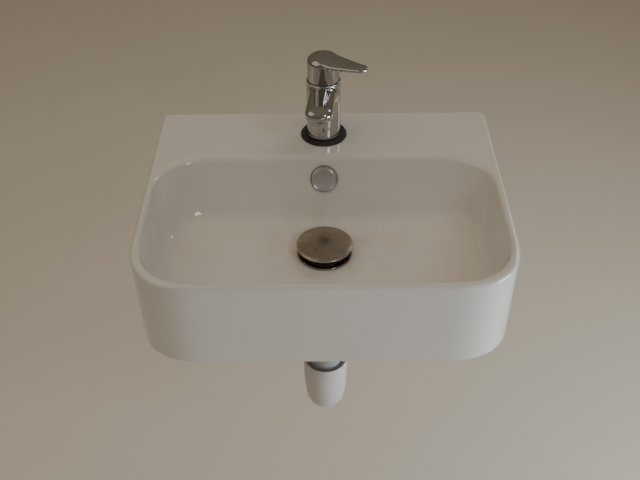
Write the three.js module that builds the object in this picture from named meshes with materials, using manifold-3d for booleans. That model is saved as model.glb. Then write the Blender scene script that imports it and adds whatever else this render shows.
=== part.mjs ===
// A small wall-hung washbasin with its single-lever mixer tap, push-open waste and bottle trap.
// Millimetres. +X is to the right as the user faces it, +Y goes into the wall, +Z is up.
// The origin lies on the basin's flat back face, midway between the two wall bolts.

import * as THREE from "three";
import { mergeVertices } from "three/addons/utils/BufferGeometryUtils.js";
import Module from "manifold-3d";

const wasm = await Module();
wasm.setup();

// Driving dimensions of the ceramic
const WIDTH = 400;
const DEPTH = 325;
const APRON_HEIGHT = 107;
const RIM_Z = 55; // the rim plane above the wall bolts
const RIM_THICKNESS = 8.5;
const RIM_EDGE_RADIUS = 4;
const SHELL = 10; // usual thickness of the ceramic
const FRONT_CORNER = 76;
const FRONT_CORNER_POWER = 2.5;
const BACK_CORNER = 4;
const ROUND_POWER = 2;
const DECK_THICKNESS = 13;
const BACK_THICKNESS = SHELL + 1; // of the wall that the bolts go through
const LEDGE_DEPTH = 101; // from the wall to the bowl's back wall, just under its soft edge
const LEDGE_EDGE_RADIUS = 10;
const BOWL_BACK_LEAN = 0.42; // forward travel of the bowl's back wall for each millimetre down
const BOWL_SIDE_LEAN = 0.14;
const BOWL_BACK_CORNER = 56;
const BOWL_FLOOR_EDGE = 66; // depth where the walls would meet the floor if nothing were rounded
const BOWL_FILLET_REACH = 24; // how far the rounding of that corner runs out over the floor
const WASTE_DEPTH = 80; // the floor at the waste, below the rim
const WASTE_Y = -177;
const WASTE_BOSS = 15; // thickness of the ceramic round the waste hole
const SEAT_RADIUS = 36.5; // of the level floor round the waste

// Driving dimensions of the fittings
const GAP = 0.3; // between pieces that touch
const PAST = 5; // how far a cutting body runs past what it cuts
const TAP_Y = -49;
const TAP_HOLE_RADIUS = 17.5;
const TAP_BODY_RADIUS = 19.8;
const GASKET_RADIUS = 27.3;
const GASKET_HEIGHT = 2.6; // above the deck
const LANDING_DEPTH = 0.3; // of the flat landing that is ground into the deck for the gasket
const TAP_SHOULDER = 75; // top of the tap's body above the deck
const PIVOT_HEIGHT = 78; // the lever's tilting axis above the deck
const HUB_RADIUS = 18.7;
const HUB_TOP = 107;
const SPOUT_TURN = 5; // degrees from straight ahead, towards the left
const SPOUT_REACH = 75;
const SPOUT_WIDTH = 31;
const LEVER_AZIMUTH = -33; // degrees from +X, its resting place at the cold stop on the right
const LEVER_REACH = 58;
const CAP_RADIUS = 32.5;
const CAP_LIFT = 9; // the open plug's rim above the flange
const WASTE_HOLE_RADIUS = 23;
const TAIL_RADIUS = 21;
const PIPE_RADIUS = 16;
const PIPE_WALL = 2;
const TRAP_COLLAR_TOP = 251; // depths below the rim
const TRAP_BOTTOM = 330;
const TRAP_BODY_TOP = 202;
const OUTLET_DEPTH = 225;
const BOLT_X = 95;
const BOLT_HOLE_RADIUS = 7;

const material = (color, roughness, metalness) => new THREE.MeshStandardMaterial({ color, roughness, metalness });
const CERAMIC = material(0xe9eaec, 0.12, 0);
const CHROME = material(0xc4c6c9, 0.08, 1);
const STEEL = material(0xa9abad, 0.3, 1);
const BRASS = material(0xb08d4f, 0.35, 1);
const BLACK_RUBBER = material(0x141414, 0.6, 0);
const GREY_RUBBER = material(0x4a4a4a, 0.7, 0);
const WHITE_PLASTIC = material(0xe6e6e8, 0.3, 0);
const NYLON = material(0xdedcd2, 0.45, 0);

const basin = new THREE.Group();

// Turns a geometry into a solid that can be joined and cut.
function toSolid(geometry) {
  const bare = geometry.clone();
  bare.deleteAttribute("normal");
  bare.deleteAttribute("uv");
  const merged = mergeVertices(bare, 1e-4);
  const vertProperties = merged.attributes.position.array;
  const triVerts = new Uint32Array(merged.index.array);
  return new wasm.Manifold(new wasm.Mesh({ numProp: 3, vertProperties, triVerts }));
}

function toGeometry(solid) {
  const mesh = solid.getMesh();
  const geometry = new THREE.BufferGeometry();
  geometry.setAttribute("position", new THREE.BufferAttribute(mesh.vertProperties, 3));
  geometry.setIndex(new THREE.BufferAttribute(mesh.triVerts, 1));
  geometry.computeVertexNormals();
  return geometry;
}

function add(name, geometry, finish, parent = basin) {
  const mesh = new THREE.Mesh(geometry, finish);
  mesh.name = name;
  parent.add(mesh);
  return mesh;
}

// A body turned about the Z axis from [radius, height] pairs that run anticlockwise.
function turned(profile, segments = 40) {
  const points = profile.map(([radius, height]) => new THREE.Vector2(radius, height));
  return new THREE.LatheGeometry(points, segments).rotateX(Math.PI / 2);
}

function disc(radius, low, high, segments = 40) {
  return turned([[0, low], [radius, low], [radius, high], [0, high]], segments);
}

function ring(inner, outer, low, high, segments = 32) {
  return turned([[inner, low], [outer, low], [outer, high], [inner, high], [inner, low]], segments);
}

// Puts a body that was made about the Z axis along +Y, at a place of its own.
function alongY(geometry, x, y, z) {
  return geometry.rotateX(-Math.PI / 2).translate(x, y, z);
}

// A six-sided nut about the Z axis.
function hexNut(acrossFlats, boreRadius, low, high) {
  const corner = acrossFlats / Math.sqrt(3);
  const outline = new THREE.Shape();
  for (let side = 0; side < 6; side += 1) {
    const angle = (side * Math.PI) / 3;
    const x = corner * Math.cos(angle);
    const y = corner * Math.sin(angle);
    if (side === 0) outline.moveTo(x, y);
    else outline.lineTo(x, y);
  }
  outline.closePath();
  outline.holes.push(new THREE.Path().absarc(0, 0, boreRadius, 0, Math.PI * 2, true));
  const options = { depth: high - low, bevelEnabled: false, curveSegments: 16 };
  return new THREE.ExtrudeGeometry(outline, options).translate(0, 0, low);
}

// A closed body through rings of equally many points, each anticlockwise seen from above, lowest first.
function loft(rings) {
  const count = rings[0].length;
  const positions = rings.flat().flatMap((point) => [point.x, point.y, point.z]);
  const faces = [];
  for (let level = 0; level + 1 < rings.length; level += 1) {
    for (let i = 0; i < count; i += 1) {
      const next = (i + 1) % count;
      const [a, b] = [level * count + i, level * count + next];
      const [c, d] = [a + count, b + count];
      faces.push(a, b, d, a, d, c);
    }
  }
  const last = (rings.length - 1) * count;
  const flat = (points) => points.map((point) => new THREE.Vector2(point.x, point.y));
  for (const [a, b, c] of THREE.ShapeUtils.triangulateShape(flat(rings[0]), [])) faces.push(a, c, b);
  for (const [a, b, c] of THREE.ShapeUtils.triangulateShape(flat(rings.at(-1)), [])) {
    faces.push(last + a, last + b, last + c);
  }
  const geometry = new THREE.BufferGeometry();
  geometry.setAttribute("position", new THREE.Float32BufferAttribute(positions, 3));
  geometry.setIndex(faces);
  return geometry;
}

// The steps of an outline: on each of its corners, and on each straight side between two corners.
const CORNER_STEPS = 8;
const SIDE_STEPS = 4;

// A four-cornered outline at one height, anticlockwise from its right side.
// Each corner is a quarter of |x/size|^power + |y/size|^power = 1.
function outline({ half, back, front, backCorner, frontCorner, depth }) {
  const corners = [
    // [side of x, side of y, y of the straight edge, size, power, starting quarter]
    [1, 1, back, backCorner, ROUND_POWER, 0],
    [-1, 1, back, backCorner, ROUND_POWER, 1],
    [-1, -1, front, frontCorner, FRONT_CORNER_POWER, 2],
    [1, -1, front, frontCorner, FRONT_CORNER_POWER, 3],
  ];
  const z = RIM_Z - depth;
  const bends = corners.map(([sideX, sideY, edge, size, power, quarter]) => {
    const points = [];
    for (let step = 0; step <= CORNER_STEPS; step += 1) {
      const angle = ((quarter + step / CORNER_STEPS) * Math.PI) / 2;
      const across = size * Math.abs(Math.cos(angle)) ** (2 / power);
      const along = size * Math.abs(Math.sin(angle)) ** (2 / power);
      points.push(new THREE.Vector3(sideX * (half - size + across), edge - sideY * (size - along), z));
    }
    return points;
  });
  return bends.flatMap((points, index) => {
    const from = points.at(-1);
    const to = bends[(index + 1) % bends.length][0];
    const between = [];
    for (let step = 1; step < SIDE_STEPS; step += 1) between.push(from.clone().lerp(to, step / SIDE_STEPS));
    return [...points, ...between];
  });
}

const outerOutline = (inset, depth) =>
  outline({
    half: WIDTH / 2 - inset,
    back: -inset,
    front: inset - DEPTH,
    backCorner: BACK_CORNER,
    frontCorner: FRONT_CORNER - inset,
    depth,
  });

// 1 on an outline's back edge, 0 on its sides and front, and blended round the two back corners.
function backness(index) {
  const leaving = 1 - (index - CORNER_STEPS - SIDE_STEPS) / CORNER_STEPS;
  return THREE.MathUtils.smoothstep(index <= CORNER_STEPS ? index / CORNER_STEPS : leaving, 0, 1);
}

// A ring of the bowl: sides and front at an inset and a depth, back at a distance from the wall and a depth.
function bowlRing(inset, sideDepth, distance, backDepth) {
  const points = outline({
    half: WIDTH / 2 - inset,
    back: -distance,
    front: inset - DEPTH,
    backCorner: BOWL_BACK_CORNER,
    frontCorner: FRONT_CORNER - inset / 2,
    depth: sideDepth,
  });
  return points.map((point, index) => point.setZ(point.z - (backDepth - sideDepth) * backness(index)));
}

// [travel, depth] pairs along a round edge, from the flat top into a wall that leans in by so much for each
// millimetre down and would meet the top at a given place.
function edgeArc(radius, lean, wall) {
  const STEPS = 5;
  const turn = Math.atan2(1, lean);
  const start = wall - radius * Math.tan(turn / 2);
  const arc = [];
  for (let step = 0; step <= STEPS; step += 1) {
    const angle = (turn * step) / STEPS;
    arc.push([start + radius * Math.sin(angle), radius * (1 - Math.cos(angle))]);
  }
  return arc;
}

// A ring between an outline and the circle round the waste; share 0 is the outline, 1 the circle.
function towardsWaste(points, radius, circleDepth, share) {
  return points.map((point) => {
    const angle = Math.atan2(point.y - WASTE_Y, point.x);
    const x = radius * Math.cos(angle);
    const y = WASTE_Y + radius * Math.sin(angle);
    return point.clone().lerp(new THREE.Vector3(x, y, RIM_Z - circleDepth), share);
  });
}

// Rings along a uniform cubic B-spline past control rings, from the first one to the last.
function smoothRings(controls) {
  const STEPS = 2;
  const beyond = (end, next) => end.map((point, i) => point.clone().multiplyScalar(2).sub(next[i]));
  const stack = [beyond(controls[0], controls[1]), ...controls, beyond(controls.at(-1), controls.at(-2))];
  const rings = [];
  for (let step = 0; step < STEPS * (controls.length - 1); step += 1) {
    const span = Math.floor(step / STEPS);
    const u = step / STEPS - span;
    const weights = [(1 - u) ** 3, 3 * u ** 3 - 6 * u ** 2 + 4, -3 * u ** 3 + 3 * u ** 2 + 3 * u + 1, u ** 3];
    const blend = (_, i) =>
      weights.reduce((sum, weight, k) => sum.addScaledVector(stack[span + k][i], weight / 6), new THREE.Vector3());
    rings.push(controls[0].map(blend));
  }
  return [...rings, controls.at(-1)];
}

// The bowl's hollow: round edges, leaning walls, and a floor that falls to a level seat round the waste.
function bowlCut() {
  const WALL_DEPTHS = [18, 42, BOWL_FLOOR_EDGE];
  const FLOOR_SHARES = [0, 0.3, 0.6, 0.85];
  const NEAREST_SHARE = 0.1; // bounds of the share at which the rounding ends, on long and on short ways
  const FARTHEST_SHARE = 0.4;
  const SEAT_STEP = 2.5;
  const backWall = LEDGE_DEPTH - LEDGE_EDGE_RADIUS * BOWL_BACK_LEAN; // where its plane would meet the rim plane
  const sideEdge = edgeArc(RIM_EDGE_RADIUS, BOWL_SIDE_LEAN, RIM_THICKNESS);
  const backEdge = edgeArc(LEDGE_EDGE_RADIUS, BOWL_BACK_LEAN, backWall);
  const edge = sideEdge.map(([inset, depth], i) => bowlRing(inset, depth, ...backEdge[i]));
  const walls = WALL_DEPTHS.map((depth) =>
    bowlRing(RIM_THICKNESS + BOWL_SIDE_LEAN * depth, depth, backWall + BOWL_BACK_LEAN * depth, depth),
  );
  const foot = walls.at(-1);
  const seats = [0, 1, 2].map((step) => towardsWaste(foot, SEAT_RADIUS - step * SEAT_STEP, WASTE_DEPTH, 1));
  const floor = FLOOR_SHARES.map((share) =>
    foot.map((point, i) => {
      const wanted = BOWL_FILLET_REACH / point.distanceTo(seats[0][i]);
      const first = THREE.MathUtils.clamp(wanted, NEAREST_SHARE, FARTHEST_SHARE);
      return point.clone().lerp(seats[0][i], first + (1 - first) * share);
    }),
  );
  const inside = smoothRings([edge.at(-1), ...walls, ...floor, ...seats]);
  const top = edge[0].map((point) => point.clone().setZ(RIM_Z + PAST));
  return toSolid(loft([top, ...edge.slice(0, -1), ...inside].reverse()));
}

// The open hollow under the bowl's floor, inside the apron.
function undersideCut() {
  const FLOOR_UNDERSIDE = 79;
  const levels = [
    // [depth, inset from the outer face]
    [APRON_HEIGHT + PAST, SHELL - 1],
    [FLOOR_UNDERSIDE + 11, SHELL],
    [FLOOR_UNDERSIDE + 4, SHELL + 5],
    [FLOOR_UNDERSIDE, SHELL + 16],
  ];
  const rings = levels.map(([depth, inset]) => outerOutline(inset, depth));
  const boss = (share) => towardsWaste(rings.at(-1), CAP_RADIUS + 2, WASTE_DEPTH + WASTE_BOSS, share);
  return toSolid(loft([...rings, boss(0.5), boss(1)]));
}

// The recess behind the bowl, open below, that takes the tap's fixing and the wall bolts.
function recessCut() {
  const wall = LEDGE_DEPTH - SHELL; // the recess side of the bowl's back wall, just under the ledge
  const section = [
    // [distance from the wall, depth]
    [BACK_THICKNESS, APRON_HEIGHT + PAST],
    [BACK_THICKNESS, DECK_THICKNESS + 5],
    [BACK_THICKNESS + 5, DECK_THICKNESS],
    [wall - 14, DECK_THICKNESS],
    [wall - 2, DECK_THICKNESS + 9],
    [wall + 8, 45],
    [wall + 28, 82],
    [wall + 34, APRON_HEIGHT + PAST],
  ];
  const side = new THREE.Shape(section.map(([y, depth]) => new THREE.Vector2(-y, RIM_Z - depth)));
  const width = WIDTH - 2 * BACK_THICKNESS;
  const geometry = new THREE.ExtrudeGeometry(side, { depth: width, bevelEnabled: false });
  // The section's own x and y become the part's y and z.
  const turn = new THREE.Matrix4().makeBasis(
    new THREE.Vector3(0, 1, 0),
    new THREE.Vector3(0, 0, 1),
    new THREE.Vector3(1, 0, 0),
  );
  return toSolid(geometry.applyMatrix4(turn).translate(-width / 2, 0, 0));
}

// Where the overflow stands: a frame on the bowl's leaning back wall, its Z axis out of the ceramic.
const OVERFLOW_DEPTH = 24.6;
const OVERFLOW_TILT = Math.atan2(1, BOWL_BACK_LEAN);
const overflowFrame = new THREE.Matrix4()
  .makeRotationX(OVERFLOW_TILT)
  .setPosition(0, -(LEDGE_DEPTH + (OVERFLOW_DEPTH - LEDGE_EDGE_RADIUS) * BOWL_BACK_LEAN), RIM_Z - OVERFLOW_DEPTH);
const OVERFLOW_HOLE_RADIUS = 11;
const OVERFLOW_HOLE_DEPTH = 20;

// The ceramic duct that leads the overflow down behind the bowl to the waste.
function overflowDuct() {
  const DUCT_WIDTH = 48;
  const FRONT = WASTE_Y + 20; // inside the ceramic round the waste
  const BACK = WASTE_Y + 96; // the duct's face in the recess
  const low = RIM_Z - WASTE_DEPTH - WASTE_BOSS;
  const high = RIM_Z - DECK_THICKNESS + 1;
  const duct = new THREE.BoxGeometry(DUCT_WIDTH, BACK - FRONT, high - low);
  return toSolid(duct.translate(0, (BACK + FRONT) / 2, (high + low) / 2));
}

function basinBody() {
  const SKIRT_EDGE = 3;
  const TAPER = 2;
  const levels = [
    // [depth, inset]
    [APRON_HEIGHT, TAPER + SKIRT_EDGE],
    [APRON_HEIGHT - 1, TAPER + 1],
    [APRON_HEIGHT - SKIRT_EDGE, TAPER],
    [RIM_EDGE_RADIUS, 0],
    [2, 0.54],
    [0.9, 1.4],
    [0.2, 2.8],
    [0, RIM_EDGE_RADIUS],
  ];
  // The back face stays flat, so only the taper of the sides and front is taken.
  const rings = levels.map(([depth, inset]) =>
    outerOutline(inset, depth).map((point) => point.setY(point.y > -BACK_CORNER ? point.y + inset : point.y)),
  );
  const hollow = undersideCut().add(recessCut()).subtract(overflowDuct());
  const tapHole = disc(TAP_HOLE_RADIUS, -DECK_THICKNESS - PAST, PAST).translate(0, TAP_Y, RIM_Z);
  const landing = disc(GASKET_RADIUS + 0.7, -LANDING_DEPTH, PAST, 48).translate(0, TAP_Y, RIM_Z);
  const wasteHole = disc(WASTE_HOLE_RADIUS, -WASTE_BOSS - PAST, PAST).translate(0, WASTE_Y, RIM_Z - WASTE_DEPTH);
  const overflow = disc(OVERFLOW_HOLE_RADIUS, -OVERFLOW_HOLE_DEPTH, 2 * PAST, 32).applyMatrix4(overflowFrame);
  let body = toSolid(loft(rings)).subtract(bowlCut()).subtract(hollow);
  const holes = [tapHole, landing, wasteHole, overflow];
  for (const hole of holes) body = body.subtract(toSolid(hole));
  for (const side of [-1, 1]) {
    const hole = disc(BOLT_HOLE_RADIUS, -BACK_THICKNESS - PAST, PAST, 24);
    body = body.subtract(toSolid(alongY(hole, side * BOLT_X, 0, 0)));
  }
  return toGeometry(body);
}

add("basin", basinBody(), CERAMIC);

// Heights in this group are measured from the deck, along the tap's axis.
const tap = new THREE.Group();
tap.position.set(0, TAP_Y, RIM_Z);
basin.add(tap);

const BASE_HEIGHT = 2 * GAP + GASKET_HEIGHT; // the tap's foot above the deck
const SPIGOT_RADIUS = 15;
const SPIGOT_DEPTH = 6;
const STUD_RADIUS = 4.8;
const STUD_OFFSET = 8; // from the tap's axis towards the wall
const STUD_END = -58;
const STUD_HOLE_TOP = 22;
const CUP_RADIUS = HUB_RADIUS + 0.5; // the round seat in which the lever's hub tilts
const CUP_FLOOR = 66;

function tapGasket() {
  const low = GAP - LANDING_DEPTH;
  const high = GAP + GASKET_HEIGHT;
  const inner = SPIGOT_RADIUS + GAP;
  return turned([
    [inner, low],
    [GASKET_RADIUS, low],
    [GASKET_RADIUS, high - 1],
    [GASKET_RADIUS - 1, high],
    [inner, high],
    [inner, low],
  ]);
}

// The spout: rounded sections that grow out of the body and close in a round nose.
function spout() {
  const SECTION_STEPS = 24;
  const NOSE = 12.5; // length of the round nose, which closes like the end of an egg
  const sections = [
    // [distance from the tap's axis, width, thickness, height of the centre]
    [4, 30, 24, 61],
    [20, 31, 24, 61.5],
    [32, SPOUT_WIDTH, 21, 63],
    [50, SPOUT_WIDTH, 19.4, 64.5],
  ];
  for (const degrees of [0, 30, 50, 66, 80]) {
    const angle = THREE.MathUtils.degToRad(degrees);
    const width = SPOUT_WIDTH * Math.cos(angle) ** 0.75;
    sections.push([SPOUT_REACH - NOSE * (1 - Math.sin(angle)), width, 19 * Math.cos(angle) ** 0.85, 65]);
  }
  const SQUARENESS = 2.6;
  const rings = sections.map(([reach, width, thickness, centre]) => {
    const points = [];
    for (let step = 0; step < SECTION_STEPS; step += 1) {
      const angle = (step / SECTION_STEPS) * Math.PI * 2;
      const across = Math.sign(Math.cos(angle)) * Math.abs(Math.cos(angle)) ** (2 / SQUARENESS);
      const up = Math.sign(Math.sin(angle)) * Math.abs(Math.sin(angle)) ** (2 / SQUARENESS);
      points.push(new THREE.Vector3((across * width) / 2, (up * thickness) / 2 + centre, reach));
    }
    return points;
  });
  // The loft rises along +Z; turning it about X lays it towards the user.
  return loft(rings).applyMatrix4(
    new THREE.Matrix4().makeBasis(
      new THREE.Vector3(-1, 0, 0),
      new THREE.Vector3(0, 0, 1),
      new THREE.Vector3(0, 1, 0),
    ),
  );
}

const AERATOR_REACH = 60;
const AERATOR_RADIUS = 11.6;
const AERATOR_LOW = 54;
const AERATOR_SOCKET_TOP = 62;
const spoutTurn = THREE.MathUtils.degToRad(180 - SPOUT_TURN);

function tapBody() {
  const low = BASE_HEIGHT;
  const column = turned([
    [0, low - SPIGOT_DEPTH],
    [SPIGOT_RADIUS, low - SPIGOT_DEPTH],
    [SPIGOT_RADIUS, low],
    [TAP_BODY_RADIUS + 0.4, low],
    [TAP_BODY_RADIUS + 0.4, low + 2],
    [TAP_BODY_RADIUS, low + 3],
    [TAP_BODY_RADIUS, TAP_SHOULDER - 0.5],
    [TAP_BODY_RADIUS - 0.4, TAP_SHOULDER],
    [0, TAP_SHOULDER],
  ]);
  const seat = new THREE.SphereGeometry(CUP_RADIUS, 48, 32).rotateX(Math.PI / 2).translate(0, 0, PIVOT_HEIGHT);
  const cup = toSolid(seat).intersect(toSolid(disc(2 * CUP_RADIUS, CUP_FLOOR, HUB_TOP)));
  const socket = disc(AERATOR_RADIUS, AERATOR_LOW - PAST, AERATOR_SOCKET_TOP, 32);
  let body = toSolid(column).add(toSolid(spout().rotateZ(spoutTurn)));
  body = body.subtract(cup);
  body = body.subtract(toSolid(socket.translate(0, AERATOR_REACH, 0).rotateZ(spoutTurn)));
  const INLET_RADIUS = 4.2;
  const INLET_TOP = 16;
  const bores = [
    // [x, y, radius, top]
    [0, STUD_OFFSET, STUD_RADIUS + GAP, STUD_HOLE_TOP],
    [-6.5, -5.5, INLET_RADIUS, INLET_TOP],
    [6.5, -5.5, INLET_RADIUS, INLET_TOP],
  ];
  for (const [x, y, radius, top] of bores) {
    body = body.subtract(toSolid(disc(radius, low - SPIGOT_DEPTH - PAST, top, 20).translate(x, y, 0)));
  }
  return toGeometry(body);
}

// The round outlet under the spout's nose, with its fine straining openings left to the surface.
function aerator() {
  const top = AERATOR_SOCKET_TOP - GAP;
  const LIP = 3;
  const FACE_DEPTH = 2;
  return turned(
    [
      [0, AERATOR_LOW + FACE_DEPTH],
      [AERATOR_RADIUS - LIP, AERATOR_LOW + FACE_DEPTH],
      [AERATOR_RADIUS - LIP, AERATOR_LOW],
      [AERATOR_RADIUS - GAP, AERATOR_LOW],
      [AERATOR_RADIUS - GAP, top],
      [0, top],
    ],
    32,
  );
}

const CARTRIDGE_RADIUS = 13;
const CARTRIDGE_TOP = 86;
const CARTRIDGE_FLOOR = 71; // of the well in which the carrier turns
const CARRIER_RADIUS = 9;
const CARRIER_TOP = 85;

function cartridge() {
  const low = CUP_FLOOR + GAP;
  return turned([
    [0, low],
    [CARTRIDGE_RADIUS, low],
    [CARTRIDGE_RADIUS, CARTRIDGE_TOP - 1.5],
    [CARTRIDGE_RADIUS - 1.5, CARTRIDGE_TOP],
    [CARRIER_RADIUS + GAP, CARTRIDGE_TOP],
    [CARRIER_RADIUS + GAP, CARTRIDGE_FLOOR],
    [0, CARTRIDGE_FLOOR],
  ]);
}

add("tap_gasket", tapGasket(), BLACK_RUBBER, tap);
add("tap_body", tapBody(), CHROME, tap);
add("tap_aerator", aerator().translate(0, AERATOR_REACH, 0).rotateZ(spoutTurn), STEEL, tap);
add("tap_cartridge", cartridge(), NYLON, tap);

// The lever's own group: its X axis points along the lever.
const lever = new THREE.Group();
lever.rotation.z = THREE.MathUtils.degToRad(LEVER_AZIMUTH);
tap.add(lever);

const STEM_HALF = 2.6;
const STEM_LOW = 76;
const SLOT_LOW = 74;
const SLOT_BACK = -6;
const SLOT_FRONT = 3.6;
const SLOT_HALF_WIDTH = STEM_HALF + 0.4;

// The turning core of the cartridge; the lever's stem tilts in its slot.
function carrier() {
  const height = CARRIER_TOP + PAST - SLOT_LOW;
  const slot = new THREE.BoxGeometry(SLOT_FRONT - SLOT_BACK, 2 * SLOT_HALF_WIDTH, height);
  slot.translate((SLOT_FRONT + SLOT_BACK) / 2, 0, SLOT_LOW + height / 2);
  const core = disc(CARRIER_RADIUS, CARTRIDGE_FLOOR + GAP, CARRIER_TOP, 32);
  return toGeometry(toSolid(core).subtract(toSolid(slot)));
}

// The lever: a domed hub that covers the cartridge, with a flat paddle and a square stem.
function leverHandle() {
  const SKIRT_LOW = 74.4;
  // Below the tilting axis the hub ends as part of a ball about it, which turns in the body's cup.
  const onBall = (height) => [Math.sqrt(HUB_RADIUS ** 2 - (PIVOT_HEIGHT - height) ** 2), height];
  const CAVITY_RADIUS = 16;
  const CAVITY_TOP = 93;
  const hub = turned([
    [0, SKIRT_LOW],
    onBall(SKIRT_LOW),
    onBall(PIVOT_HEIGHT - 1.8),
    [HUB_RADIUS, PIVOT_HEIGHT],
    [HUB_RADIUS, HUB_TOP - 9],
    [HUB_RADIUS - 1.1, HUB_TOP - 5.8],
    [HUB_RADIUS - 4, HUB_TOP - 3.4],
    [HUB_RADIUS - 9, HUB_TOP - 1.2],
    [HUB_RADIUS - 14, HUB_TOP - 0.2],
    [0, HUB_TOP],
  ]);
  const PADDLE_STEPS = 8;
  const ROOT_HALF = 10.5;
  const TIP_HALF = 7.5;
  const plan = new THREE.Shape();
  plan.moveTo(0, -ROOT_HALF);
  plan.lineTo(LEVER_REACH - TIP_HALF, -TIP_HALF);
  plan.absarc(LEVER_REACH - TIP_HALF, 0, TIP_HALF, -Math.PI / 2, Math.PI / 2, false);
  plan.lineTo(0, ROOT_HALF);
  plan.closePath();
  const PADDLE_THICKNESS = 4.4;
  const PADDLE_LOW = 97.2;
  const PADDLE_RISE = THREE.MathUtils.degToRad(3);
  const bevel = { bevelThickness: 0.8, bevelSize: 0.8, bevelSegments: 2, curveSegments: PADDLE_STEPS };
  const paddle = new THREE.ExtrudeGeometry(plan, { depth: PADDLE_THICKNESS, ...bevel });
  paddle.rotateY(-PADDLE_RISE).translate(0, 0, PADDLE_LOW);
  const cavity = disc(CAVITY_RADIUS, SKIRT_LOW - PAST, CAVITY_TOP, 40);
  const stemTop = CAVITY_TOP + PAST; // inside the hub's crown
  const stem = new THREE.BoxGeometry(2 * STEM_HALF, 2 * STEM_HALF, stemTop - STEM_LOW);
  stem.translate(0, 0, (stemTop + STEM_LOW) / 2);
  const shell = toSolid(hub).add(toSolid(paddle)).subtract(toSolid(cavity));
  return toGeometry(shell.add(toSolid(stem)));
}

add("lever_carrier", carrier(), NYLON, lever);
add("tap_lever", leverHandle(), CHROME, lever);

// What holds the tap from below: a stud, two slotted washers and a nut.
function slottedWasher(low, high) {
  const OUTER = 22;
  const SLOT_WIDTH = 20; // the way for the two hoses
  const slot = new THREE.BoxGeometry(SLOT_WIDTH, OUTER + PAST, high - low + 2 * PAST);
  slot.translate(0, -(OUTER + PAST) / 2, (low + high) / 2);
  const plate = toSolid(disc(OUTER, low, high, 40)).subtract(toSolid(slot));
  const hole = toSolid(disc(STUD_RADIUS + GAP, low - PAST, high + PAST, 20).translate(0, STUD_OFFSET, 0));
  return toGeometry(plate.subtract(hole));
}

const RUBBER_WASHER = 3;
const STEEL_WASHER = 2;
const TAP_NUT_HEIGHT = 10;
const rubberTop = -DECK_THICKNESS - GAP;
const steelTop = rubberTop - RUBBER_WASHER - GAP;
const tapNutTop = steelTop - STEEL_WASHER - GAP;
const studHead = STUD_HOLE_TOP - GAP;
add("tap_stud", disc(STUD_RADIUS, STUD_END, studHead, 20).translate(0, STUD_OFFSET, 0), BRASS, tap);
add("tap_rubber_washer", slottedWasher(rubberTop - RUBBER_WASHER, rubberTop), GREY_RUBBER, tap);
add("tap_steel_washer", slottedWasher(steelTop - STEEL_WASHER, steelTop), STEEL, tap);
const tapNut = hexNut(17, STUD_RADIUS + GAP, tapNutTop - TAP_NUT_HEIGHT, tapNutTop);
add("tap_nut", tapNut.translate(0, STUD_OFFSET, 0), BRASS, tap);

// The overflow's cover: a shallow dish with a rolled rim on a sleeve that plugs into the hole.
function overflowCover() {
  const RIM = 15.4;
  const DISH = 12.6;
  const SLEEVE = OVERFLOW_HOLE_RADIUS - GAP;
  const SLEEVE_END = -12;
  const cover = turned([
    [0, 0.9],
    [SLEEVE - 1.5, 0.9],
    [SLEEVE - 1.5, SLEEVE_END],
    [SLEEVE, SLEEVE_END],
    [SLEEVE, 0.9],
    [RIM - 0.6, 0.9],
    [RIM, 1.7],
    [RIM - 0.4, 2.8],
    [RIM - 1.4, 3.2],
    [DISH, 2.6],
    [DISH - 0.6, 1.9],
    [0, 2.2],
  ]);
  return cover.applyMatrix4(overflowFrame);
}

add("overflow_cover", overflowCover(), CHROME);

// Heights in this group are measured from the bowl's floor at the waste.
const waste = new THREE.Group();
waste.position.set(0, WASTE_Y, RIM_Z - WASTE_DEPTH);
basin.add(waste);

const FLANGE_TOP = GAP + 2.6;
const TAIL_END = -72;
const CROSS_LOW = -26;
const CROSS_HEIGHT = 6;
const STEM_RADIUS = 4;
const GUIDE_RADIUS = 7;

// The waste's body: a flange on the floor, a tail with two overflow slots, and a cross that guides the plug.
function wasteBody() {
  const bore = TAIL_RADIUS - 2.5;
  const shell = turned([
    [bore, TAIL_END],
    [TAIL_RADIUS, TAIL_END],
    [TAIL_RADIUS, GAP],
    [CAP_RADIUS - 1.5, GAP],
    [CAP_RADIUS - 0.5, GAP + 1],
    [CAP_RADIUS - 1, FLANGE_TOP],
    [bore + 3, FLANGE_TOP],
    [bore, -1],
    [bore, TAIL_END],
  ]);
  let body = toSolid(shell);
  const slots = new THREE.BoxGeometry(3 * TAIL_RADIUS, 12, 8).translate(0, 0, -7);
  body = body.subtract(toSolid(slots));
  for (const turn of [0, Math.PI / 2]) {
    const bar = new THREE.BoxGeometry(2 * bore + 2, 3, CROSS_HEIGHT).translate(0, 0, CROSS_LOW + CROSS_HEIGHT / 2);
    body = body.add(toSolid(bar.rotateZ(turn)));
  }
  body = body.add(toSolid(disc(GUIDE_RADIUS, CROSS_LOW, CROSS_LOW + 2 * CROSS_HEIGHT, 24)));
  return toGeometry(body.subtract(toSolid(disc(STEM_RADIUS + GAP, CROSS_LOW - PAST, 0, 24))));
}

// The domed plug, standing open on its stem.
function wasteCap() {
  const edge = FLANGE_TOP + CAP_LIFT;
  return turned([
    [0, CROSS_LOW - 3],
    [STEM_RADIUS, CROSS_LOW - 3],
    [STEM_RADIUS, edge - 1],
    [14, edge - 1],
    [15, edge - 2.5],
    [17, edge - 2.5],
    [17.5, edge],
    [CAP_RADIUS - 0.8, edge],
    [CAP_RADIUS, edge + 1],
    [CAP_RADIUS - 0.8, edge + 2.2],
    [CAP_RADIUS - 4, edge + 3.2],
    [CAP_RADIUS - 12, edge + 5],
    [CAP_RADIUS - 22, edge + 6.2],
    [0, edge + 6.6],
  ]);
}

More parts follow.
